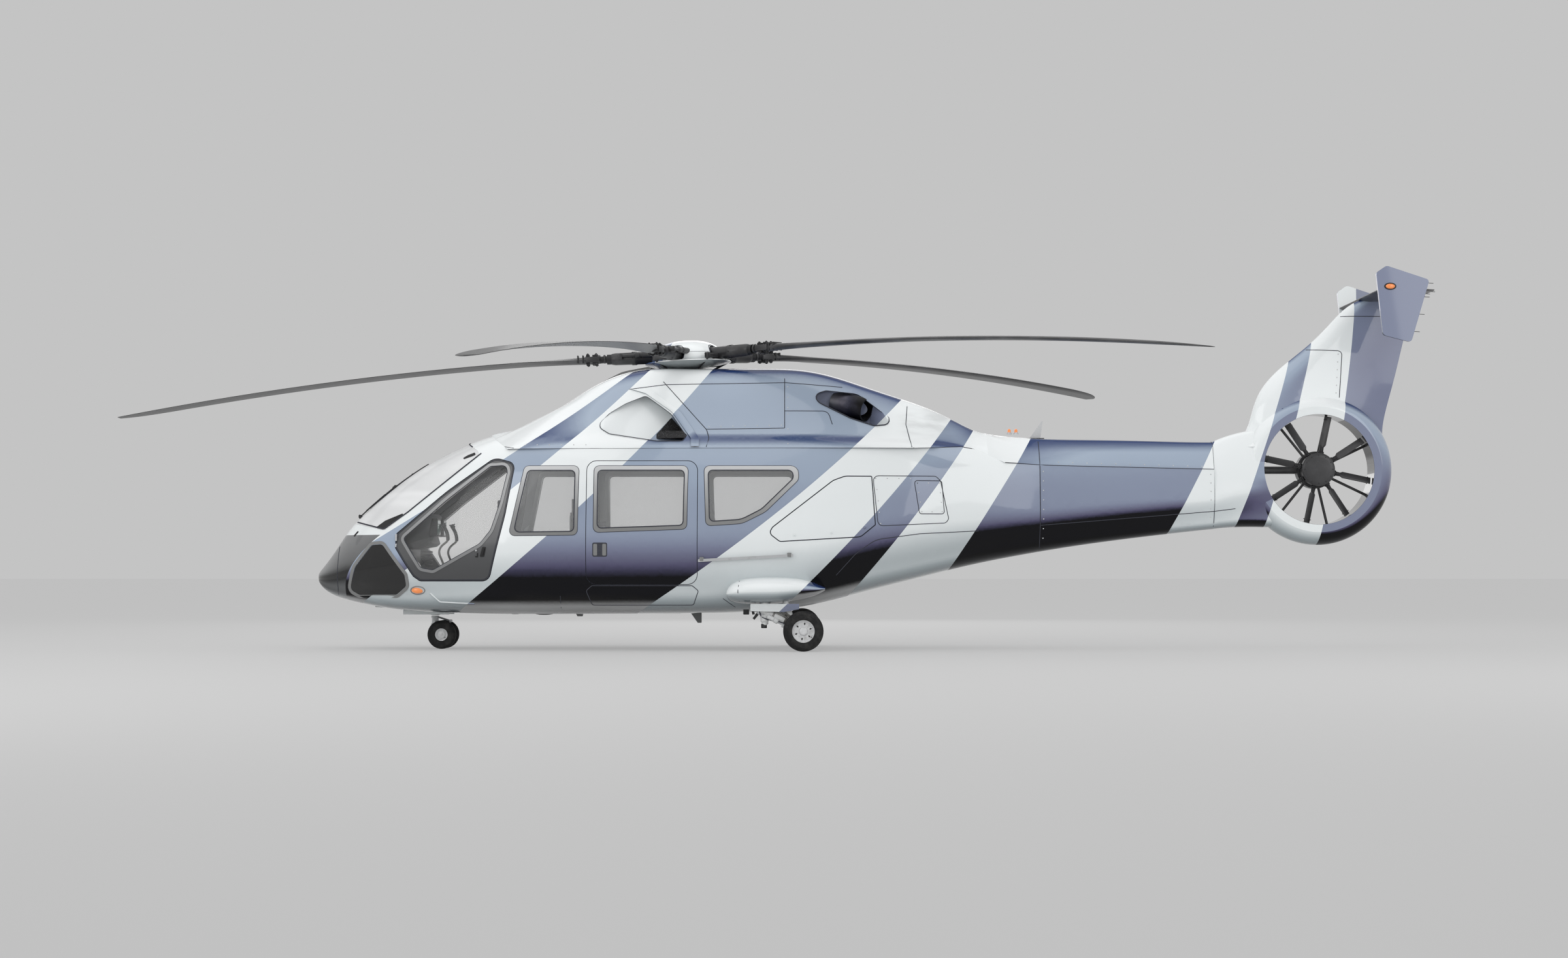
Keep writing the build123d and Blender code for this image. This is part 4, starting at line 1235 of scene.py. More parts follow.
seals = [
    # name, opening, path moved out by, skin read further out by, carriers, radius, depth under the skin
    ("pilot_door_seal", "pilot_door", -0.006, 0.006, "fuselage", 0.0085, 0.016),
    ("sliding_door_seal", "slide_door", -0.004, 0.006, "fuselage", 0.0065, 0.012),
    ("baggage_door_seal", "baggage_door", -0.006, 0.006, "fuselage", 0.0085, 0.016),
    ("front_window_joint", "front_window", 0, 0.006, "fuselage", 0.0035, 0),
    ("rear_window_joint", "rear_window", 0, 0.006, "fuselage", 0.0035, 0),
    ("sliding_window_joint", "slide_window", 0, 0.006, "sliding_door_left", 0.0035, 0),
    ("front_glass_seal", "front_glass", 0, 0.008, "window_frames", 0.006, 0),
    ("rear_glass_seal", "rear_glass", 0, 0.008, "window_frames", 0.006, 0),
    ("sliding_glass_seal", "slide_glass", 0, 0.008, "window_frames", 0.006, 0),
]


def opening_line(name, step=0.04):
    points, radii = openings[name]
    return rounded(points, radii, step)


class HELI_OT_openings(bpy.types.Operator):
    """Seals, glass linings and handles of doors and windows"""

    bl_idname = "heli.openings"
    bl_label = "Finish the doors and windows"

    def execute(self, context):
        for name, opening, out, read, carriers, radius, depth in seals:
            line = opening_line(opening)
            cord = laid(grown(line, out), carriers, radius, True, -depth, grown(line, read), 2)
            paired(cord, name, "seal_rubber")
        self.linings()
        self.pilot_handles()
        self.sliding_handles()
        self.baggage_latches()
        return {"FINISHED"}

    def on_both_doors(self, piece, name, material, slot=None):
        twin = mirrored(piece)
        settle(piece, name + "_left", material, "pilot_door_left", slot)
        settle(twin, name + "_right", material, "pilot_door_right", slot)

    def linings(self):
        inner = opening_line("pilot_glass", 0.03)
        ring = wrapped(grown(inner, 0.034), [grown(inner, 0.002)], "pilot_door_left", 0, 0.007)
        self.on_both_doors(ring, "pilot_glass_lining", "lining_grey")
        cord = laid(inner, "pilot_door_left", 0.006, True, 0, grown(inner, 0.01), 2)
        self.on_both_doors(cord, "pilot_glass_seal", "seal_rubber")
        rim = opening_line("pilot_door", 0.04)
        edge = laid(grown(rim, -0.02), "pilot_door_left", 0.004, True, 0, grown(rim, -0.024), 1)
        self.on_both_doors(edge, "pilot_door_edge", "seal_rubber")
        chin = opening_line("chin", 0.03)
        rim = wrapped(grown(chin, 0.038), [grown(chin, 0.002)], "fuselage", 0, 0.006)
        paired(rim, "chin_window_rim", "frame_grey")

    def pilot_handles(self):
        """Recessed plate, slanted lever and key lock."""
        door = "pilot_door_left"
        y = skin_y(-3.262, 1.13, door)
        tray = plated([(-3.3, 1.075), (-3.246, 1.075), (-3.222, 1.192), (-3.268, 1.192)], 0.012, door, 0, 0.003)
        lever = plated([(-3.288, 1.09), (-3.258, 1.09), (-3.238, 1.18), (-3.262, 1.18)], 0.008, door, 0.004, 0.012)
        lever = modified(lever, "BEVEL", width=0.003, segments=2)
        corner = [(-3.349, 1.072), (-3.318, 1.072), (-3.318, 1.12), (-3.33, 1.12), (-3.33, 1.086), (-3.349, 1.086)]
        hook = plated(corner, 0.003, door, 0, 0.008)
        lock = barrel((-3.34, y, 1.15), left, [(-0.01, 0.011), (0.004, 0.011), (0.006, 0.008), (0.003, 0.004)], 20)
        self.on_both_doors(tray, "pilot_handle_tray", "dark_plastic")
        self.on_both_doors(joined([lever, hook]), "pilot_handle", "hood_grey", "gear_metal")
        self.on_both_doors(lock, "pilot_door_lock", "bright_metal")
        knuckle = [(0, 0.01), (0.004, 0.013), (0.036, 0.013), (0.04, 0.01)]
        knuckles = []
        y = skin_y(-4.28, 1.26, door) - 0.004
        for low in (1.19, 1.262, 1.3):
            knuckles.append(barrel((-4.297, y, low), up, knuckle, 14))
        paired(knuckles, "pilot_door_hinges", "bright_metal")

    def sliding_handles(self):
        """Two pale slots on a dark tray, and the stops of the lower rail."""
        slots = []
        for x in (-1.975, -1.872):
            outline = [(x - 0.022, 1.092), (x + 0.022, 1.092), (x + 0.022, 1.225), (x - 0.022, 1.225)]
            slots.append(plated(outline, 0.012, "sliding_door_left", 0, 0.003))
        paired(slots, "sliding_handle_slots", "frame_grey")
        outline = [(-2.008, 1.078), (-1.838, 1.078), (-1.838, 1.24), (-2.008, 1.24)]
        paired(plated(outline, 0.02, "sliding_door_left", 0, 0.0015), "sliding_handle_trays", "seal_rubber")
        rollers = [block((0.05, 0.03, 0.05), (x, -1.115, z), 0.008) for x, z in ((-0.76, 1.05), (0.24, 1.098))]
        paired(rollers, "rail_stops", "frame_grey")

    def baggage_latches(self):
        rows = [(-0.004, 0.024), (0.002, 0.024), (0.004, 0.018), (0.003, 0.012), (0.005, 0.01)]
        latches = []
        for x, z in ((0.3, 1.33), (0.72, 1.36), (1.1, 1.42)):
            latches.append(barrel((x, skin_y(x, z, "baggage_door_left"), z), left, rows, 20))
        model = joined(latches)
        twin = mirrored(model)
        for piece, body in ((model, "baggage_door_left"), (twin, "baggage_door_right")):
            settle(piece, body + "_latches", "livery", body)


front = "fuselage windshield_glass"


class HELI_OT_windshield(bpy.types.Operator):
    """Windshield seals, wipers, painted shade on the glass corners and the nose vents"""

    bl_idname = "heli.windshield"
    bl_label = "Fit the windshield"

    def execute(self, context):
        sill = [(-4.86, 1.495), (-4.46, 1.4), (-4.17, 1.6), (-3.32, 2.275)]
        cord = laid(rounded(sill, 0.05, 0.04, False), front, 0.009, False, 0, None, 2)
        paired(cord, "windshield_seal", "seal_rubber")
        self.post_seals()
        self.wipers()
        self.slots()
        return {"FINISHED"}

    def post_seals(self):
        """Seals along both sides of the centre post and across the top."""
        cords = []
        for y in (-0.043, 0.043):
            heights = [(x, skin_z(x, y, front)) for x in (-4.86 + k * 0.047 for k in range(30))]
            cords.append(tube([(x, y, z) for x, z in heights if z is not None], 0.008))
        top = []
        for k in range(15):
            y = -0.62 + k * 0.62 / 7
            x, z = -3.5, 2.35
            for turn in range(12):
                z = skin_z(x, y, front) or z
                x = -3.31 - (z - 2.268) * 1.496 if z < 2.391 else -3.494 - (z - 2.391) * 0.21
            top.append((x, y, z))
        cords.append(tube(top, 0.008))
        settle(cords, "windshield_post_seals", "seal_rubber")

    def wipers(self):
        """Pivot, sprung arm, carrier and rubber blade, parked beside the post."""
        parts = []

        def above(x, y, lift):
            return (x, y, skin_z(x, y, front) + lift)

        arm = [above(-4.8 + 0.055 * k, -0.16 + 0.004 * k, 0.02 + 0.0015 * k) for k in range(8)]
        parts.append(tube(arm, 0.0075, smooth=True))
        parts.append(tube([(x, y - 0.012, z + 0.006) for x, y, z in arm[1:6]], 0.004, smooth=True))
        foot = above(-4.8, -0.16, -0.004)
        parts.append(barrel(foot, (-0.6, 0, 0.8), [(0, 0.024), (0.03, 0.022), (0.036, 0.012), (0.044, 0.01)], 20))
        blade = [above(-4.7 + 0.062 * k, -0.145 + 0.004 * k, 0.016) for k in range(12)]
        parts.append(tube([(x, y, z + 0.01) for x, y, z in blade], 0.006))
        rubber_strip = tube(blade, 0.0055, sides=1)
        parts.append(block((0.05, 0.024, 0.03), arm[-1], 0.006, turn=(0, -40, 0)))
        for x, y, z in blade[2:9:3]:
            parts.append(block((0.018, 0.018, 0.022), (x, y, z + 0.008), 0.004, turn=(0, -38, 0)))
        paired(parts, "wiper_arms", "dark_plastic")
        paired(rubber_strip, "wiper_rubbers", "seal_rubber")

    def slots(self):
        """Dark patches of painted shade on the glass corners near the roof and near the nose, and the nose vents."""
        upper = [(-3.62, 2.175), (-3.43, 2.24), (-3.385, 2.258), (-3.4, 2.285), (-3.48, 2.255)]
        lower = [(-4.571, 1.415), (-4.453, 1.498), (-4.187, 1.6), (-4.26, 1.54), (-4.468, 1.395)]
        # Painted shade: dark plates laid on the glass where it shows only shade
        plates = [plated(line, 0.01, "windshield_glass", 0.001, 0.003) for line in (upper, lower)]
        paired(plates, "windshield_corner_shade", "dark_plastic")
        vent = plated([(-4.853, 1.325), (-4.8, 1.383), (-4.787, 1.372), (-4.838, 1.315)], 0.006, "fuselage", 0, 0.004)
        paired(vent, "nose_vents", "dark_plastic")


def oval_lens(place, size, sides):
    let_go()
    bpy.ops.mesh.primitive_uv_sphere_add(segments=sides, ring_count=sides // 2, radius=1, location=place)
    lens = bpy.context.object
    lens.scale = size
    return settled_now(lens)


class HELI_OT_small_fittings(bpy.types.Operator):
    """Lamps, step rims, antennas and plates under the belly"""

    bl_idname = "heli.small_fittings"
    bl_label = "Add lamps, steps and antennas"

    def execute(self, context):
        self.step_rims()
        self.side_lamps()
        self.belly()
        self.tail()
        return {"FINISHED"}

    def step_rims(self):
        line = rounded([(-3.895, 0.658), (-3.787, 0.558), (-3.49, 0.543), (-3.38, 0.537)], 0.05, 0.03, False)
        rim = laid(line, "fuselage", 0.012, False, -0.002, None, 3)
        hexagon = [(-2.088, 0.69), (-2.02, 0.748), (-0.87, 0.748), (-0.8, 0.69), (-0.86, 0.525), (-2.02, 0.525)]
        ledge = laid(rounded(hexagon, 0.03, 0.04), "fuselage", 0.006, True, -0.003, None, 2)
        paired(rim, "step_rims", "livery")
        paired(ledge, "step_ledges", "seal_rubber")

    def side_lamps(self):
        """Amber lamps under the crew doors in pale bezels."""
        x, z = -4.041, 0.692
        y = skin_y(x, z)
        line = [Vector((x + 0.084 * cos(turn), z + 0.046 * sin(turn))) for turn in spread(36)]
        lens = oval_lens((x, y + 0.004, z), (0.072, 0.03, 0.036), 32)
        bezel = laid(line, "fuselage", 0.006, sides=2)
        paired(lens, "side_lamp_lenses", "amber_lens", smooth=60)
        paired(bezel, "side_lamp_bezels", "frame_grey")

    def belly(self):
        spans = ((-2.1, -1.86, 0), (-1.8, -1.62, 0.18), (-1.56, -1.43, 0))
        plates = [block((x1 - x0, 0.16, 0.022), ((x0 + x1) / 2, y, 0.424), 0.006) for x0, x1, y in spans]
        settle(plates, "belly_plates", "dark_plastic")
        place = (-2.655, 0, 0.44)
        bowl = [(0, 0.13), (0.012, 0.13), (0.018, 0.12), (0.034, 0.1), (0.042, 0.06), (0.044, 0.02)]
        settle(barrel(place, down, bowl, 36), "belly_lamp_glass", "dark_plastic")
        collar = barrel(place, down, [(-0.004, 0.145), (0.01, 0.145), (0.014, 0.134)], 36)
        settle(collar, "belly_lamp_collar", "bright_metal")
        feet = ((-2.248, 0.432, 0.19), (-0.88, 0.437, 0.22), (3.135, 2.486, 0.26))
        bases = [block((chord, 0.06, 0.008), (x, 0, z), 0.003) for x, z, chord in feet]
        settle(bases, "antenna_bases", "dark_plastic")
        blade = block((0.31, 0.03, 0.02), (-4.5, 0, 0.492), 0.006, turn=(0, 2, 0))
        settle(blade, "nose_blade_antenna", "leg_paint", slot="white_paint")
        static = block((0.2, 0.03, 0.018), (-3, 0.18, 0.424), 0.005)
        settle(static, "belly_drain_mast", "bright_metal")

    def tail(self):
        x, y, z = 7.135, -1.056, 4.179
        lens = oval_lens((x, y, z), (0.055, 0.024, 0.03), 28)
        foot = barrel((x, y + 0.004, z), left, [(-0.004, 0.07), (0.006, 0.07), (0.01, 0.06)], 32)
        middle = Matrix.Translation((x, 0, z))
        foot.data.transform(middle @ Matrix.Diagonal((1, 1, 0.6, 1)) @ middle.inverted())
        paired(lens, "end_plate_lenses", "amber_lens", smooth=60)
        paired(foot, "end_plate_lamp_feet", "dark_plastic")
        wicks = []
        for z0, x0 in ((3.66, 7.413), (3.86, 7.47), (4.06, 7.53), (4.22, 7.574)):
            wicks.append(tube([(x0 - 0.03, -1.038, z0), (x0 + 0.06, -1.038, z0 - 0.004)], 0.0035, sides=1))
        for y0 in (-0.85, -0.62, -0.39):
            wicks.append(tube([(7.63, y0, 4.14), (7.7, y0, 4.136)], 0.0035, sides=1))
        paired(wicks, "static_wicks", "dark_plastic")
        lens = [(0, 0.02), (0.03, 0.019), (0.04, 0.013), (0.044, 0.005)]
        posts = []
        lenses = []
        for dx in (-0.045, 0.035):
            place = (2.895 + dx, 0, 2.535)
            posts.append(barrel(place, up, [(0, 0.03), (0.012, 0.03), (0.016, 0.024), (0.022, 0.023)], 24))
            lenses.append(barrel((place[0], 0, 2.555), up, lens, 24))
        settle(posts, "beacon_bases", "bright_metal")
        beacon = settle(lenses, "beacon_lenses", "amber_lens")
        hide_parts("beacon")


def settled_now(piece):
    """Puts the piece's place in its mesh before it is copied."""
    hold(piece)
    bpy.ops.object.transform_apply()
    return piece


hub_centre = (-0.96, 0, 3.458)
mast_tilt = radians(-2.5)
first_blade = -35.5
rotor_place = Matrix.Translation(hub_centre) @ Matrix.Rotation(mast_tilt, 4, "Y")
blade_turns = [radians(first_blade - 72 * k) for k in range(5)]


class HELI_OT_rotor_head(bpy.types.Operator):
    """Sleeves, blade bolts, dampers, pitch links and the head's lower dish"""

    bl_idname = "heli.rotor_head"
    bl_label = "Dress the rotor head"

    def execute(self, context):
        size = context.scene.helicopter_trim.bolt
        shell = [(0, 0.07), (0.01, 0.084), (0.05, 0.084), (0.06, 0.076), (0.3, 0.075), (0.31, 0.081), (0.36, 0.081),
            (0.37, 0.074), (0.56, 0.072), (0.6, 0.065), (0.62, 0.05)]
        ring = [(0, 0.043), (0.004, 0.052), (0.024, 0.052), (0.028, 0.043)]
        damper = [(0, 0.02), (0.01, 0.036), (0.17, 0.036), (0.18, 0.026), (0.2, 0.026), (0.205, 0.033),
            (0.26, 0.033), (0.27, 0.016), (0.42, 0.015)]
        dark = [
            barrel((0.3, 0, 0.006), aft, shell, 28),
            barrel((0.975, 0, 0.012), aft, ring, 24),
            barrel((1.035, 0, 0.012), aft, ring, 24),
            block((0.17, 0.03, 0.07), (1.13, -0.072, 0.008), 0.008),
            block((0.17, 0.03, 0.07), (1.13, 0.072, 0.008), 0.008),
            block((0.07, 0.2, 0.05), (0.47, -0.14, -0.03), 0.012),
            block((0.05, 0.07, 0.07), (0.47, -0.235, -0.03), 0.012),
            barrel((0.36, 0.125, 0.035), (0.98, -0.06, 0), damper, 22),
            block((0.05, 0.08, 0.07), (0.8, 0.085, 0.03), 0.01),
        ]
        bright = []
        for dx in (1.085, 1.185):
            for dy in (-0.045, 0.045):
                bright += [
                    bolt((dx, dy, 0.044), up, size * 2, 0.026),
                    bolt((dx, dy, -0.03), down, size * 2, 0.026),
                    barrel((dx, dy, -0.066), up, [(0, size), (0.146, size), (0.15, size * 0.7)], 12),
                ]
        bright += [
            barrel((0.47, -0.235, 0), down, [(0, 0.024), (0.06, 0.024), (0.066, 0.018)], 18),
            tube([(0.47, -0.235, -0.06), (0.2, -0.12, -0.2)], 0.012),
            barrel((0.2, -0.12, -0.235), up, [(0, 0.018), (0.004, 0.024), (0.04, 0.024), (0.044, 0.018)], 18),
        ]
        for turn in spread(6):
            across, high = 0.078 * cos(turn), 0.078 * sin(turn)
            bright.append(bolt((0.655, across, 0.006 + high), (0, cos(turn), sin(turn)), size * 0.7, 0.006))
        self.five(joined(dark), "sleeve_shells", "composite")
        self.five(joined(bright), "blade_bolts", "hub_metal")
        self.dish()
        self.blades()
        return {"FINISHED"}

    def five(self, piece, name, material):
        pieces = [copied(piece, rotor_place @ Matrix.Rotation(turn, 4, "Z")) for turn in blade_turns]
        bpy.data.objects.remove(piece)
        settle(pieces, name, material, "main_rotor")

    def dish(self):
        rows = [(-0.064, 0.46), (-0.07, 0.505), (-0.082, 0.512), (-0.1, 0.47), (-0.135, 0.34), (-0.155, 0.2),
            (-0.158, 0.12)]
        dish = barrel(origin, up, rows, 64)
        dish.data.transform(rotor_place)
        settle(dish, "rotor_dish", "cap_paint", "main_rotor")
        swash = [barrel((0, 0, -0.255), up, [(0, 0.14), (0.006, 0.165), (0.03, 0.168), (0.036, 0.155),
            (0.05, 0.155), (0.056, 0.168), (0.076, 0.165), (0.082, 0.13)], 48)]
        for k, turn in enumerate(spread(5)):
            lug = block((0.1, 0.05, 0.045), on_circle(0.185, turn, -0.215), 0.008, turn=(0, 0, 72 * k))
            swash.append(lug)
        swash.append(tube([(-0.2, -0.02, -0.23), (-0.33, -0.03, -0.12), (-0.22, -0.02, -0.1)], 0.014))
        plate = joined(swash)
        plate.data.transform(rotor_place)
        settle(plate, "swashplate", "hub_metal", "main_rotor", "hub_metal")
        cap_rows = [(-0.06, 0.43), (0.04, 0.41), (0.122, 0.32), (0.172, 0.18)]

        def cap_radius(z):
            for (z0, r0), (z1, r1) in zip(cap_rows, cap_rows[1:]):
                if z <= z1:
                    return r0 + (r1 - r0) * (z - z0) / (z1 - z0)
            return cap_rows[-1][1]

        parts = []
        for turn in blade_turns:
            rim = []
            for k in range(33):
                t = -0.9 + (pi + 1.8) * k / 32
                y, z = 0.101 * cos(t), 0.006 + 0.101 * sin(t)
                if z > -0.062:
                    r = cap_radius(z) + 0.002
                    rim.append(Matrix.Rotation(turn, 4, "Z") @ Vector((sqrt(r * r - y * y), y, z)))
            parts.append(tube(rim, 0.008))
            arc = [on_circle(0.416, turn + radians(15.5 + 41 * k / 12), 0.024) for k in range(13)]
            parts.append(tube(arc, 0.0035, sides=1))
        ring = joined(parts)
        ring.data.transform(rotor_place)
        settle(ring, "cap_rims", "seal_rubber", "main_rotor")

    def blades(self):
        """Bands round the root of each blade."""
        bands = [block((0.018, 0.18, 0.096), (reach, 0.004, 0.014), 0.006) for reach in (1.24, 1.3)]
        self.five(joined(bands), "blade_root_bands", "dark_plastic")


wheel_sets = [
    # name, body, replaced node, centre, half width, rim radius, radius of the hole ring, holes, outward
    ("main_wheel_left", "wheel_left", "main_rim_left", main_wheel_left, 0.0544, 0.131, 0.087, 6, -1),
    ("main_wheel_right", "wheel_right", "main_rim_right", main_wheel_right, 0.0544, 0.131, 0.087, 6, 1),
    ("nose_wheel_left", "nose_wheels", "nose_rims", nose_wheel_left, 0.052, 0.075, 0, 0, -1),
    ("nose_wheel_right", "nose_wheels", None, nose_wheel_right, 0.052, 0.075, 0, 0, 1),
]


class HELI_OT_wheels(bpy.types.Operator):
    """Wheel discs with oval holes and bolts, and tyres with grooves and rings"""

    bl_idname = "heli.wheels"
    bl_label = "Build the wheels"

    def execute(self, context):
        size = context.scene.helicopter_trim.bolt
        for name, body, node, centre, half, radius, hole_ring, holes, out in wheel_sets:
            axis = (0, out, 0)
            if holes:
                disc = self.main_disc(half, radius, hole_ring, holes, size)
            else:
                disc = self.nose_disc(half, radius, size)
            disc.data.transform(Matrix.Translation(centre) @ along(axis).to_matrix().to_4x4())
            piece = settle(disc, name, "wheel_white", body)
            if node:
                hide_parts(node)
            self.valve(name, body, centre, radius, out, half)
        self.tyre_rings()
        return {"FINISHED"}

    def main_disc(self, half, radius, hole_ring, holes, size):
        """Dished disc on its own axis, outward along +Z."""
        rows = [(0.01, 0.03), (0.011, 0.105), (-half + 0.012, 0.117), (-half, 0.122), (-half, radius),
            (half - 0.006, radius), (half, radius - 0.003), (half - 0.001, radius - 0.012), (0.037, 0.113),
            (0.027, 0.104), (0.024, 0.05), (0.038, 0.045), (0.043, 0.04), (0.046, 0.03), (0.0455, 0.006)]
        disc = barrel(origin, up, rows, 72)
        cutters = []
        for turn in spread(holes, 0.35):
            cutter = barrel(origin, up, [(-0.01, 1), (0.06, 1)], 20)
            cutter.data.transform(Matrix.Diagonal((0.013, 0.0085, 1, 1)))
            cutter.data.transform(Matrix.Rotation(turn, 4, "Z") @ Matrix.Translation((hole_ring, 0, 0)))
            cutters.append(cutter)
        tool = joined(cutters)
        disc = modified(disc, "BOOLEAN", operation="DIFFERENCE", object=tool, solver="EXACT")
        bpy.data.objects.remove(tool)
        outer = [bolt(on_circle(0.068, turn, 0.0245), up, size * 0.6, 0.006) for turn in spread(holes,
            pi / holes + 0.35)]
        inner = [bolt(on_circle(0.024, turn, 0.0455), up, size * 0.35, 0.003) for turn in spread(4, 0.6)]
        return joined([disc] + outer + inner)

    def nose_disc(self, half, radius, size):
        rows = [(0, 0.026), (0.001, 0.055), (-half, 0.066), (-half, radius), (half - 0.005, radius),
            (half, radius - 0.003), (half - 0.002, radius - 0.01), (0.03, 0.052), (0.026, 0.046), (0.03, 0.042),
            (0.038, 0.04), (0.042, 0.034), (0.0425, 0.02), (0.046, 0.018), (0.048, 0.01)]
        bolts = [bolt(on_circle(0.034, turn, 0.04), up, size * 0.35, 0.003) for turn in spread(6)]
        return joined([barrel(origin, up, rows, 56)] + bolts)

    def valve(self, name, body, centre, radius, out, half):
        x, y, z = centre
        place = (x + (radius - 0.022) * 0.8, y + out * (half - 0.02), z - (radius - 0.022) * 0.6)
        stem = barrel(place, (0, out, 0), [(0, 0.004), (0.016, 0.004), (0.0165, 0.005), (0.024, 0.005),
            (0.025, 0.003)], 12)
        settle(stem, name + "_valve", "dark_plastic", body)

    def tyre_rings(self):
        """Straight grooves round the tread and raised rings on the side walls."""
        tyres = [
            # name, body, centre, radius, width
            ("main_tyre_left", "wheel_left", main_wheel_left, 0.23, 0.17),
            ("main_tyre_right", "wheel_right", main_wheel_right, 0.23, 0.17),
            ("nose_tyre_left", "nose_wheels", nose_wheel_left, 0.168, 0.13),
            ("nose_tyre_right", "nose_wheels", nose_wheel_right, 0.168, 0.13),
        ]
        for name, body, (x, y, z), radius, width in tyres:
            places = [(x, y + share * width, z) for share in (-0.13, 0, 0.13)]
            grooves = [self.ring(place, radius - 0.0031, 0.003, 72) for place in places]
            settle(grooves, name + "_grooves", "seal_rubber", body, "tyre_rubber")
            corner = 0.42 * width
            rings = []
            for side in (-1, 1):
                for angle in (28, 68):
                    across = width / 2 - corner + corner * cos(radians(90 - angle))
                    reach = radius - corner + corner * sin(radians(90 - angle))
                    rings.append(self.ring((x, y + side * across, z), reach, 0.0028, 64))
            settle(rings, name + "_rings", "rubber", body)

    def ring(self, centre, radius, thick, sides):
        let_go()
        bpy.ops.mesh.primitive_torus_add(
            major_segments=sides, minor_segments=6, major_radius=radius, minor_radius=thick,
            location=centre, rotation=(radians(90), 0, 0),
        )
        return bpy.context.object


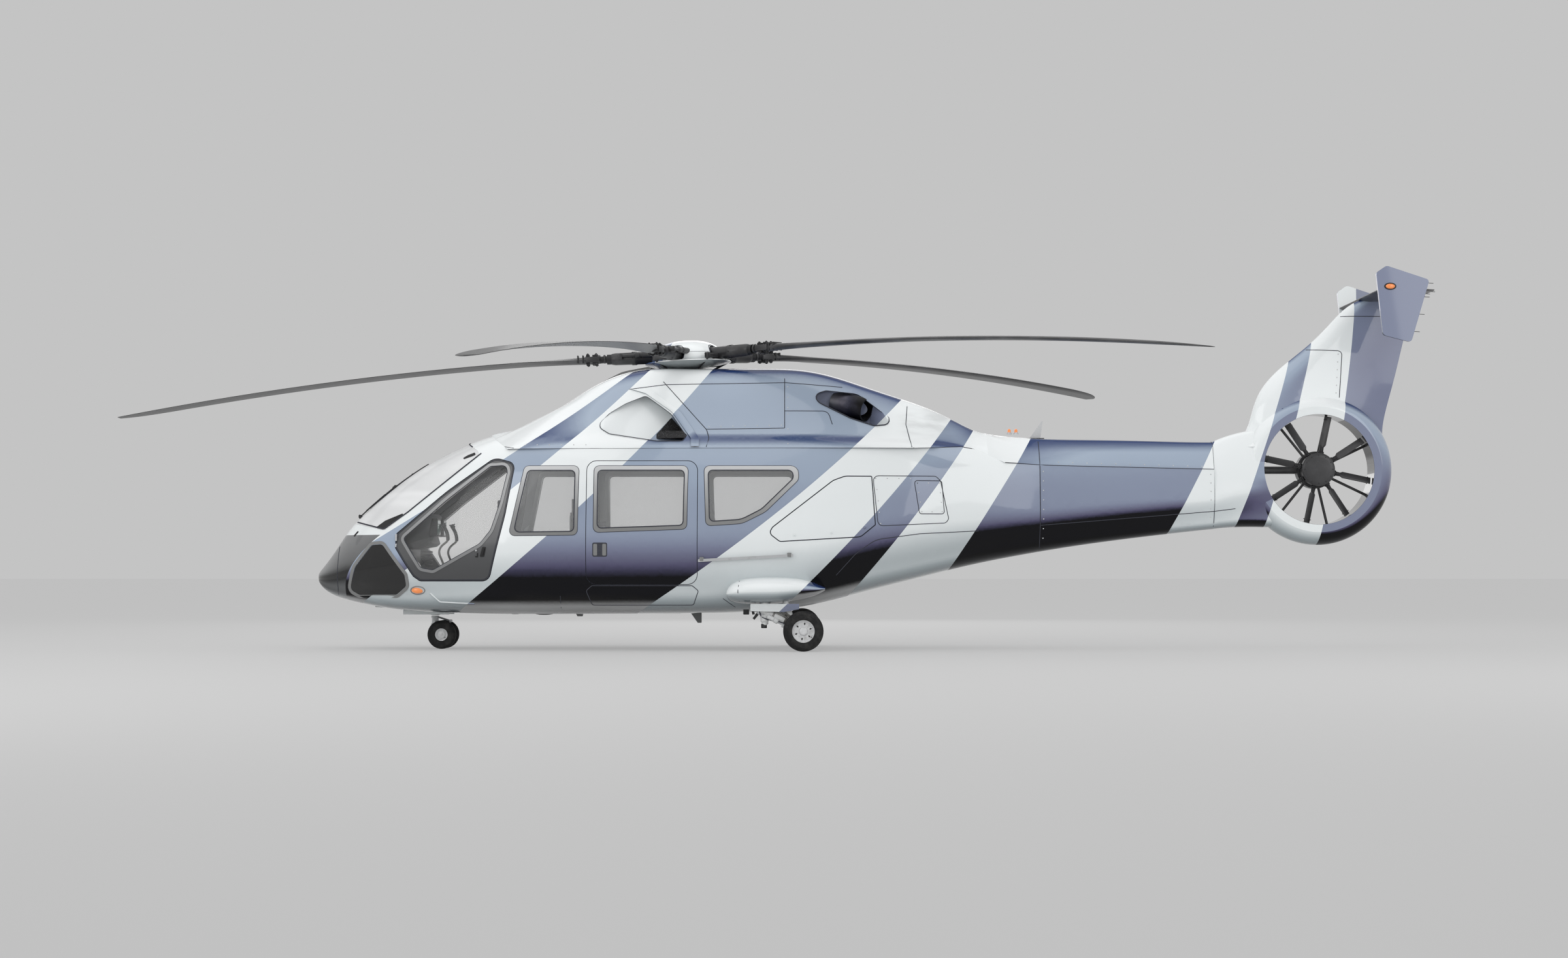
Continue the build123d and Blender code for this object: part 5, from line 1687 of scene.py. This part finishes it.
class HELI_OT_gear(bpy.types.Operator):
    """Struts, fittings, hoses and links of the landing gear"""

    bl_idname = "heli.gear"
    bl_label = "Detail the landing gear"

    def execute(self, context):
        self.main_legs()
        self.nose_leg()
        return {"FINISHED"}

    def main_legs(self):
        size = 0.008
        white = [
            barrel((-0.0415, -1.03, 0.41), down, [(0, 0.05), (0.012, 0.056), (0.02, 0.048), (0.07, 0.046),
                (0.08, 0.036), (0.11, 0.034)], 28),
            barrel((-0.01, -1.075, 0.4), (0.155, 0, -0.082), [(0, 0.02), (0.008, 0.027), (0.075, 0.027),
                (0.082, 0.022), (0.088, 0.03), (0.13, 0.03), (0.14, 0.022)], 24),
            block((0.06, 0.04, 0.07), (-0.01, -1.05, 0.445), 0.008),
            block((0.035, 0.05, 0.05), (0.165, -1.06, 0.296), 0.008),
        ]
        chrome = [
            barrel((0.09, -1.075, 0.347), (0.155, 0, -0.082), [(0, 0.016), (0.13, 0.016), (0.135, 0.02),
                (0.15, 0.02)], 20),
        ]
        for place in ((0.02, -1.088, 0.415), (0.165, -1.088, 0.31), (0.3, -1.078, 0.27)):
            chrome.append(bolt(place, left, size, 0.006))
        dark = [
            block((0.066, 0.05, 0.06), (-0.252, -1.02, 0.447), 0.006),
            block((0.03, 0.05, 0.075), (-0.175, -1.03, 0.455), 0.005, turn=(0, -12, 0)),
            block((0.03, 0.05, 0.075), (-0.145, -1.03, 0.395), 0.005, turn=(0, 40, 0)),
            barrel((-0.048, -1.03, 0.312), down, [(0, 0.03), (0.006, 0.034), (0.045, 0.034), (0.05, 0.028)], 24),
        ]
        for k in range(5):
            dark.append(block((0.072, 0.056, 0.004), (-0.252, -1.02, 0.424 + 0.011 * k), 0.001, 1))
        arms = []
        for high in (0.49, 0.45):
            bend = [(0.06, -1.055, high), (0.16, -1.06, high - 0.03), (0.27, -1.06, high - 0.105)]
            arms.append(tube(bend, 0.014, sides=3, smooth=True))
        clamps = []
        for share in (0.2, 0.5, 0.8):
            x, z = -0.04 + 0.44 * share, 0.46 - 0.23 * share
            r = 0.052 - 0.012 * share
            clamps.append(barrel((x, -1.03, z), (0.44, 0, -0.23),
                [(0, r + 0.002), (0.003, r + 0.006), (0.019, r + 0.006), (0.022, r + 0.002)], 28))
        hoses = [
            tube([(-0.1, -1.03, 0.47), (-0.1, -1.06, 0.4), (-0.02, -1.085, 0.36), (0.12, -1.09, 0.34),
                (0.24, -1.085, 0.3), (0.34, -1.075, 0.25), (0.4, -1.07, 0.235)], 0.007, smooth=True),
            tube([(0.03, -0.99, 0.47), (0.1, -0.97, 0.38), (0.24, -0.97, 0.31), (0.38, -0.985, 0.25)], 0.006,
                smooth=True),
        ]
        brake = barrel((0.4, -1.085, 0.23), left, [(0, 0.07), (0.006, 0.098), (0.026, 0.098), (0.03, 0.085)], 40)
        paired(white, "main_leg_fittings", "leg_paint")
        paired(chrome, "main_leg_rods", "bright_metal")
        paired(dark, "main_leg_boxes", "dark_plastic")
        paired(arms + clamps, "main_leg_clamps", "cast_metal")
        paired(hoses, "main_leg_hoses", "seal_rubber")
        paired(brake, "brake_packs", "cast_metal")
        links = [tube([(x, -1.094, 0.5), (x, -1.03, 0.53)], 0.007) for x in (-0.15, 0.02, 0.22)]
        paired(links, "gear_door_links", "bright_metal")

    def nose_leg(self):
        x = -3.945
        fixed = [
            barrel((x, 0, 0.47), down, [(0, 0.053), (0.004, 0.062), (0.024, 0.062), (0.028, 0.055), (0.06, 0.055),
                (0.064, 0.06), (0.072, 0.054)], 32),
            block((0.12, 0.05, 0.035), (x - 0.05, 0, 0.455), 0.008),
            tube([(x - 0.02, 0, 0.45), (-4.2, 0, 0.5)], 0.016, sides=3),
        ]
        settle(fixed, "nose_leg_collars", "leg_paint")
        rods = []
        for side in (-1, 1):
            for dx in (-4.2, -3.86):
                rods.append(tube([(dx, side * 0.233, 0.47), (dx + 0.02, side * 0.19, 0.5)], 0.007))
        settle(rods, "nose_door_links", "bright_metal")
        turning = [
            barrel((x, 0, 0.385), down, [(0, 0.041), (0.003, 0.048), (0.016, 0.048), (0.02, 0.043)], 28),
            barrel((x, 0, 0.3), down, [(0, 0.041), (0.003, 0.05), (0.04, 0.05), (0.045, 0.042)], 28),
            block((0.07, 0.07, 0.07), (-3.85, 0, 0.172), 0.014),
        ]
        for side in (-1, 1):
            turning.append(barrel((x, side * 0.04, 0.345), (0, side, 0),
                [(0, 0.016), (0.002, 0.021), (0.012, 0.021), (0.016, 0.017)], 20))
        settle(turning, "nose_fork_collars", "leg_paint", "nose_steering")
        links = []
        for side in (-1, 1):
            links.append(tube([(x + 0.035, side * 0.028, 0.372), (-3.76, side * 0.018, 0.325)], 0.009))
            links.append(tube([(-3.76, side * 0.018, 0.325), (-3.86, side * 0.03, 0.215)], 0.009))
        links.append(barrel((-3.76, -0.035, 0.325), right, [(0, 0.012), (0.002, 0.017), (0.068, 0.017),
            (0.07, 0.012)], 16))
        settle(links, "nose_torque_links", "bright_metal", "nose_steering")
        chrome = barrel((x, 0, 0.368), down, [(0, 0.0405), (0.065, 0.0405)], 32)
        settle(chrome, "nose_oleo", "bright_metal", "nose_steering")
        caps = []
        for side in (-1, 1):
            caps.append(barrel((-3.847, side * 0.062, 0.168), (0, side, 0),
                [(0, 0.022), (0.002, 0.032), (0.016, 0.032), (0.018, 0.022)], 24))
        settle(caps, "nose_axle_collars", "cast_metal", "nose_steering")


cloth_frames = 20
largest_swell = 0.022  # metres that the pressure may move a cushion's skin


def soft_block(size, centre, low=None, back=None):
    """Cushion blown up a little from a rounded block; flat under low or behind back."""
    piece = settled_now(block(size, centre, 0.035, 4))
    modified(piece, "REMESH", mode="VOXEL", voxel_size=0.018)
    first = [vertex.co.copy() for vertex in piece.data.vertices]
    hold(piece)
    piece.modifiers.new("Cloth", "CLOTH")
    settings = piece.modifiers["Cloth"].settings
    settings.use_pressure = True
    settings.uniform_pressure_force = 4
    settings.effector_weights.gravity = 0
    scene = bpy.context.scene
    for number in range(cloth_frames):
        scene.frame_set(number + 1)
    bpy.ops.object.modifier_apply(modifier="Cloth")
    scene.frame_set(1)
    for vertex, start in zip(piece.data.vertices, first):
        moved = vertex.co - start
        if moved.length > largest_swell:
            vertex.co = start + moved.normalized() * largest_swell
    modified(piece, "SUBSURF", levels=1, render_levels=1)
    for vertex in piece.data.vertices:
        if low is not None:
            vertex.co.z = max(vertex.co.z, low)
        if back is not None:
            vertex.co.x = min(vertex.co.x, back)
    return piece


def sewn(piece, lines, depth=0.007, reach=0.012):
    """Presses sewn channels into a cushion; each line is (axis, place, axis it faces)."""
    normals = [vertex.normal.copy() for vertex in piece.data.vertices]
    for vertex, normal in zip(piece.data.vertices, normals):
        for axis, place, facing, way in lines:
            if normal[facing] * way > 0.35:
                gap = (vertex.co[axis] - place) / reach
                vertex.co -= normal * depth * exp(-gap * gap)
    return piece


def welt(piece, centre, half, level, upright=False):
    """Piping round a cushion: at one height, or round the front of an upright one."""
    places = []
    middle = Vector((level, *centre[1:]) if upright else (*centre[:2], level))
    for turn in spread(56):
        way = Vector((0, cos(turn), sin(turn)) if upright else (cos(turn), sin(turn), 0))
        hit, place, normal, index = piece.ray_cast(middle + way * half * 2, -way)
        if hit:
            places.append(place + normal * 0.0005)
    return tube(places, 0.0042, True, 2)


seat_rows = [
    # x, faces, y places, name
    (-3.42, -1, (-0.4, 0.4), "pilot"),
    (-1.95, 1, (-0.6, 0, 0.6), "front_row"),
    (-1, -1, (-0.6, 0, 0.6), "middle_row"),
    (-0.25, -1, (-0.6, 0, 0.6), "rear_row"),
]


class HELI_OT_seats(bpy.types.Operator):
    """Sprung cushions with piping on tube frames, and their harnesses"""

    bl_idname = "heli.seats"
    bl_label = "Fit the seats"

    def execute(self, context):
        pad = soft_block((0.415, 0.395, 0.07), (-0.01, 0, 0.907), low=0.862)
        sewn(pad, [(1, -0.125, 2, 1), (1, 0.125, 2, 1), (0, -0.1, 2, 1), (0, 0.05, 2, 1)])
        back = soft_block((0.062, 0.395, 0.6), (0.283, 0, 1.275), back=0.325)
        sewn(back, [(1, -0.125, 0, -1), (1, 0.125, 0, -1), (2, 1.12, 0, -1), (2, 1.28, 0, -1), (2, 1.44, 0, -1)])
        head = soft_block((0.05, 0.215, 0.125), (0.28, 0, 1.682), back=0.318)
        sewn(head, [(2, 1.69, 0, -1)])
        soft = [
            ("cushion", pad, welt(pad, (-0.01, 0, 0.9), 0.3, 0.925)),
            ("backrest", back, welt(back, (0.283, 0, 1.275), 0.45, 0.262, True)),
            ("headrest", head, welt(head, (0.28, 0, 1.682), 0.2, 0.268, True)),
        ]
        frame_parts, belts, metal = self.frame_model(), self.belts(), self.buckles()
        sets = {"pilot": [], "cabin": []}
        for x, faces, places, row in seat_rows:
            for count, y in enumerate(places):
                turn = Matrix.Translation((x, y, 0))
                if faces > 0:
                    turn = turn @ Matrix.Rotation(pi, 4, "Z")
                for part, form, piping in soft:
                    label = row + "_" + part + "_" + "abc"[count]
                    piece = settle(copied(form, turn), label, "seat_cloth", smooth=60)
                group = sets["pilot" if row == "pilot" else "cabin"]
                trims = [copied(piping, turn) for part, form, piping in soft]
                group.append((copied(frame_parts, turn), copied(belts, turn), copied(metal, turn), joined(trims)))
        for name, group in sets.items():
            rigid = settle([g[0] for g in group], name + "_seat_frames", "cabin_trim")
            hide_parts(name + "_seats")
            settle([g[1] for g in group], name + "_harnesses", "webbing")
            settle([g[2] for g in group], name + "_buckles", "bright_metal")
            settle([g[3] for g in group], name + "_piping", "seal_rubber")
        for model in (pad, back, head, frame_parts, belts, metal, *[item[2] for item in soft]):
            bpy.data.objects.remove(model)
        return {"FINISHED"}

    def frame_model(self):
        parts = [
            block((0.43, 0.41, 0.014), (0, 0, 0.853), 0.005),
            block((0.012, 0.4, 0.66), (0.331, 0, 1.26), 0.005),
            block((0.01, 0.2, 0.12), (0.322, 0, 1.69), 0.004),
        ]
        for side in (-1, 1):
            y = side * 0.15
            parts.append(block((0.3, 0.03, 0.02), (0, y, 0.602), 0.004))
            for x in (-0.13, 0.13):
                parts.append(tube([(x, y, 0.61), (x * 0.9, y, 0.85)], 0.013))
            parts.append(tube([(-0.13, y, 0.64), (0.12, y, 0.83)], 0.009))
            parts.append(tube([(0.326, side * 0.06, 1.56), (0.318, side * 0.06, 1.66)], 0.008))
            parts.append(tube([(0.2, side * 0.185, 0.852), (0.3, side * 0.185, 0.87), (0.333, side * 0.185, 0.95),
                (0.333, side * 0.185, 1.55)], 0.011, smooth=True))
        return joined(parts)

    def belts(self):
        """Two shoulder straps and a lap strap."""
        parts = []
        for side in (-1, 1):
            run = [(0.24, side * 0.075, 1.585), (0.24, side * 0.072, 1.45), (0.238, side * 0.068, 1.25),
                (0.232, side * 0.055, 1.08)]
            for (x0, y0, z0), (x1, y1, z1) in zip(run, run[1:]):
                parts.append(block((0.003, 0.042, (z0 - z1) + 0.004),
                    ((x0 + x1) / 2 - 0.001, (y0 + y1) / 2, (z0 + z1) / 2), 0.001, 1))
            parts.append(block((0.042, 0.15, 0.003), (0.1, side * 0.125, 0.958), 0.001, 1, (side * 5, 0, 0)))
        return joined(parts)

    def buckles(self):
        parts = [
            barrel((0.1, 0, 0.957), up, [(0, 0.026), (0.01, 0.03), (0.018, 0.026), (0.02, 0.012)], 24),
            block((0.012, 0.05, 0.03), (0.236, 0.06, 1.1), 0.003),
            block((0.012, 0.05, 0.03), (0.236, -0.06, 1.1), 0.003),
        ]
        return joined(parts)


class HELI_OT_cockpit(bpy.types.Operator):
    """Instrument hood, displays, sticks, collective levers and pedals"""

    bl_idname = "heli.cockpit"
    bl_label = "Fit out the cockpit"

    def execute(self, context):
        hood = [(-4.335, 1.175), (-4.335, 1.275), (-3.985, 1.59), (-3.945, 1.59), (-3.93, 1.56), (-3.975, 1.34),
            (-3.945, 1.24), (-3.99, 1.205), (-4.19, 1.17)]
        body = self.prism(rounded(hood, 0.02, 0.03), 0.43)
        settle(body, "instrument_hood", "hood_grey")
        pods = []
        glass = []
        for y in (-0.27, 0.27):
            pods.append(block((0.09, 0.27, 0.205), (-3.915, y, 1.425), 0.01, 3))
            glass.append(block((0.004, 0.235, 0.165), (-3.869, y, 1.425), 0.0015, 1))
            for k in range(6):
                pods.append(block((0.01, 0.016, 0.01), (-3.868, y - 0.1 + 0.04 * k, 1.331), 0.002))
        pods.append(block((0.06, 0.22, 0.15), (-3.935, 0, 1.435), 0.01, 3))
        glass.append(block((0.004, 0.18, 0.11), (-3.904, 0, 1.435), 0.0015, 1))
        for row in range(5):
            for y in (-0.06, 0, 0.06):
                pods.append(barrel((-4.1, y, 1 + 0.035 * row), aft, [(0, 0.012), (0.108, 0.012), (0.112, 0.009)], 14))
        settle(pods, "display_housings", "dark_plastic")
        settle(glass, "display_screens", "screen_dark")
        self.levers()
        return {"FINISHED"}

    def prism(self, line, half):
        """A flat outline widened to both sides, its edges rounded."""
        piece = flat_face(line)
        piece.data.transform(Matrix.Translation((0, -half, 0)))
        hold(piece)
        bpy.ops.object.mode_set(mode="EDIT")
        bpy.ops.mesh.select_all(action="SELECT")
        bpy.ops.mesh.extrude_region_move(TRANSFORM_OT_translate={"value": (0, 2 * half, 0)})
        bpy.ops.mesh.select_all(action="SELECT")
        bpy.ops.mesh.normals_make_consistent(inside=False)
        bpy.ops.object.mode_set(mode="OBJECT")
        return modified(piece, "BEVEL", width=0.012, segments=3, limit_method="ANGLE", angle_limit=radians(60))

    def levers(self):
        """Cyclic sticks, collective levers and pedals of both seats."""
        stick = [(-3.74, 0.6), (-3.745, 0.8), (-3.799, 1.017), (-3.855, 1.109), (-3.846, 1.183), (-3.79, 1.239),
            (-3.75, 1.262), (-3.748, 1.29)]
        handle = [(-3.748, 1.275), (-3.744, 1.33), (-3.764, 1.39), (-3.794, 1.43)]
        socket = [(0, 0.06), (0.01, 0.058), (0.03, 0.035), (0.05, 0.018)]
        head = [(0, 0.02), (0.012, 0.028), (0.04, 0.027), (0.052, 0.018)]
        stalks = []
        grips = []
        for y in (-0.4, 0.4):
            foot = y - 0.265
            stalks += [
                tube([(x, y, z) for x, z in stick], 0.013, sides=3, smooth=True),
                barrel((-3.74, y, 0.592), up, socket, 24),
                tube([(-3.22, foot, 0.64), (-3.32, foot, 0.72), (-3.5, foot, 0.88)], 0.014, sides=3),
            ]
            grips += [
                tube([(x, y, z) for x, z in handle], 0.021, sides=4, smooth=True),
                barrel((-3.785, y, 1.425), (-0.5, 0, 1), head, 20),
                block((0.045, 0.022, 0.018), (-3.815, y, 1.455), 0.004, turn=(0, 30, 0)),
                barrel((-3.775, y - 0.012, 1.47), (0.2, 0, 1), [(0, 0.008), (0.01, 0.008), (0.012, 0.005)], 12),
                tube([(-3.5, foot, 0.88), (-3.6, foot, 0.97)], 0.021, sides=4),
                block((0.05, 0.05, 0.05), (-3.615, foot, 0.985), 0.01, turn=(0, 40, 0)),
            ]
            for dy in (-0.11, 0.11):
                stalks.append(tube([(-4.06, y + dy, 0.62), (-4.12, y + dy, 0.76)], 0.01))
                grips.append(block((0.014, 0.085, 0.1), (-4.115, y + dy, 0.79), 0.004, turn=(0, -22, 0)))
        settle(stalks, "control_stalks", "cast_metal")
        settle(grips, "control_grips", "dark_plastic")


class HELI_OT_ducts(bpy.types.Operator):
    """Dark intake screens laid as painted shade, intake lips, exhaust rims, and the fan's rings and bolts"""

    bl_idname = "heli.ducts"
    bl_label = "Line the ducts"

    def execute(self, context):
        # Painted shade: a dark screen over the back of each intake, where it lies in shade
        mouth = rounded([(-1.3, 2.5), (-1.136, 2.7), (-0.94, 2.48), (-0.96, 2.445), (-1.3, 2.45)], 0.012, 0.02)
        screen = wrapped(mouth, [], "cowling", 0.002, 0.004)
        paired(screen, "intake_shade_screens", "mesh_dark")
        lip = [(-1.6, 3.025), (-1.4, 3.03), (-1.02, 2.76), (-0.8, 2.44), (-0.8, 2.34), (-0.89, 2.34),
            (-0.895, 2.44), (-1.115, 2.755), (-1.43, 2.975)]
        band = modified(wrapped(rounded(lip, [0, 0.1, 0.3, 0.1, 0, 0, 0.06, 0.3, 0.06], 0.03), [], "cowling", 0,
            0.016), "BEVEL", width=0.006, segments=2, limit_method="ANGLE", angle_limit=radians(50))
        paired(band, "intake_lips", "livery")
        rim = opening_line("intake", 0.03)
        cord = laid(rim, "cowling", 0.0045, True, 0, grown(rim, 0.012), 1)
        paired(cord, "intake_edges", "seal_rubber")
        pipe = opening_line("exhaust", 0.03)
        cord = laid(pipe, "cowling", 0.007, True, 0, grown(pipe, 0.014), 2)
        paired(cord, "exhaust_edges", "seal_rubber")
        self.fan(context.scene.helicopter_trim.bolt)
        return {"FINISHED"}

    def fan(self, size):
        x, y, z = fan_centre
        hub = [barrel((x, -0.148, z), left, [(0, 0.186), (0.006, 0.184), (0.014, 0.172), (0.017, 0.14),
            (0.019, 0.06), (0.02, 0.01)], 64)]
        hub.append(barrel((x, -0.12, z), left, [(0, 0.191), (0.003, 0.196), (0.02, 0.196), (0.024, 0.189)], 64))
        settle(hub, "fan_hub_cap", "fan_dark", "tail_rotor")
        model = bolt((x + 0.165, -0.16, z), left, size * 0.55, 0.006)
        settle(ringed(model, 12, "Y", fan_centre), "fan_hub_bolts", "hub_metal", "tail_rotor")
        collar = barrel((x + 0.196, -0.07, z), aft, [(-0.004, 0.03), (0.004, 0.036), (0.022, 0.036), (0.028, 0.026),
            (0.08, 0.022)], 20)
        band = block((0.01, 0.012, 0.09), (x + 0.6, -0.07, z), 0.003)
        ring = ringed(joined([collar, band]), 8, "Y", fan_centre)
        middle = Matrix.Translation(fan_centre)
        ring.data.transform(middle @ Matrix.Rotation(radians(12), 4, "Y") @ middle.inverted())
        settle(ring, "fan_blade_collars", "hub_metal", "tail_rotor", "hub_metal")
        pod = barrel((x, 0.183, z), right, [(-0.01, 0.215), (0.004, 0.2), (0.012, 0.17), (0.016, 0.1),
            (0.018, 0.02)], 56)
        settle(pod, "fan_pod_cover", "fan_dark")
        feet = bolt((x + 0.19, 0.186, z), right, size * 0.6, 0.006)
        settle(ringed(feet, 10, "Y", fan_centre), "fan_pod_bolts", "hub_metal")


class HELI_PT_panel(bpy.types.Panel):
    """Lists the steps in the sidebar"""

    bl_idname = "HELI_PT_panel"
    bl_label = "Helicopter"
    bl_space_type = "VIEW_3D"
    bl_region_type = "UI"
    bl_category = "Helicopter"

    def draw(self, context):
        column = self.layout.column()
        for group in (context.scene.helicopter_paint, context.scene.helicopter_trim, context.scene.helicopter_stage):
            for key in group.bl_rna.properties.keys():
                if key not in ("rna_type", "name"):
                    column.prop(group, key)
        for operator in operators:
            column.operator(operator.bl_idname)


operators = [
    HELI_OT_stage,
    HELI_OT_paint,
    HELI_OT_seams,
    HELI_OT_openings,
    HELI_OT_windshield,
    HELI_OT_small_fittings,
    HELI_OT_rotor_head,
    HELI_OT_wheels,
    HELI_OT_gear,
    HELI_OT_ducts,
    HELI_OT_cockpit,
    HELI_OT_seats,
]
groups = [HelicopterPaint, HelicopterTrim, HelicopterStage]


def register():
    for item in groups + operators + [HELI_PT_panel]:
        bpy.utils.register_class(item)
    bpy.types.Scene.helicopter_paint = bpy.props.PointerProperty(type=HelicopterPaint)
    bpy.types.Scene.helicopter_trim = bpy.props.PointerProperty(type=HelicopterTrim)
    bpy.types.Scene.helicopter_stage = bpy.props.PointerProperty(type=HelicopterStage)


def unregister():
    del bpy.types.Scene.helicopter_stage
    del bpy.types.Scene.helicopter_trim
    del bpy.types.Scene.helicopter_paint
    for item in reversed(groups + operators + [HELI_PT_panel]):
        bpy.utils.unregister_class(item)


def main():
    register()
    for operator in operators:
        step = getattr(bpy.ops.heli, operator.bl_idname.split(".")[1])
        step()


if __name__ == "__main__":
    main()
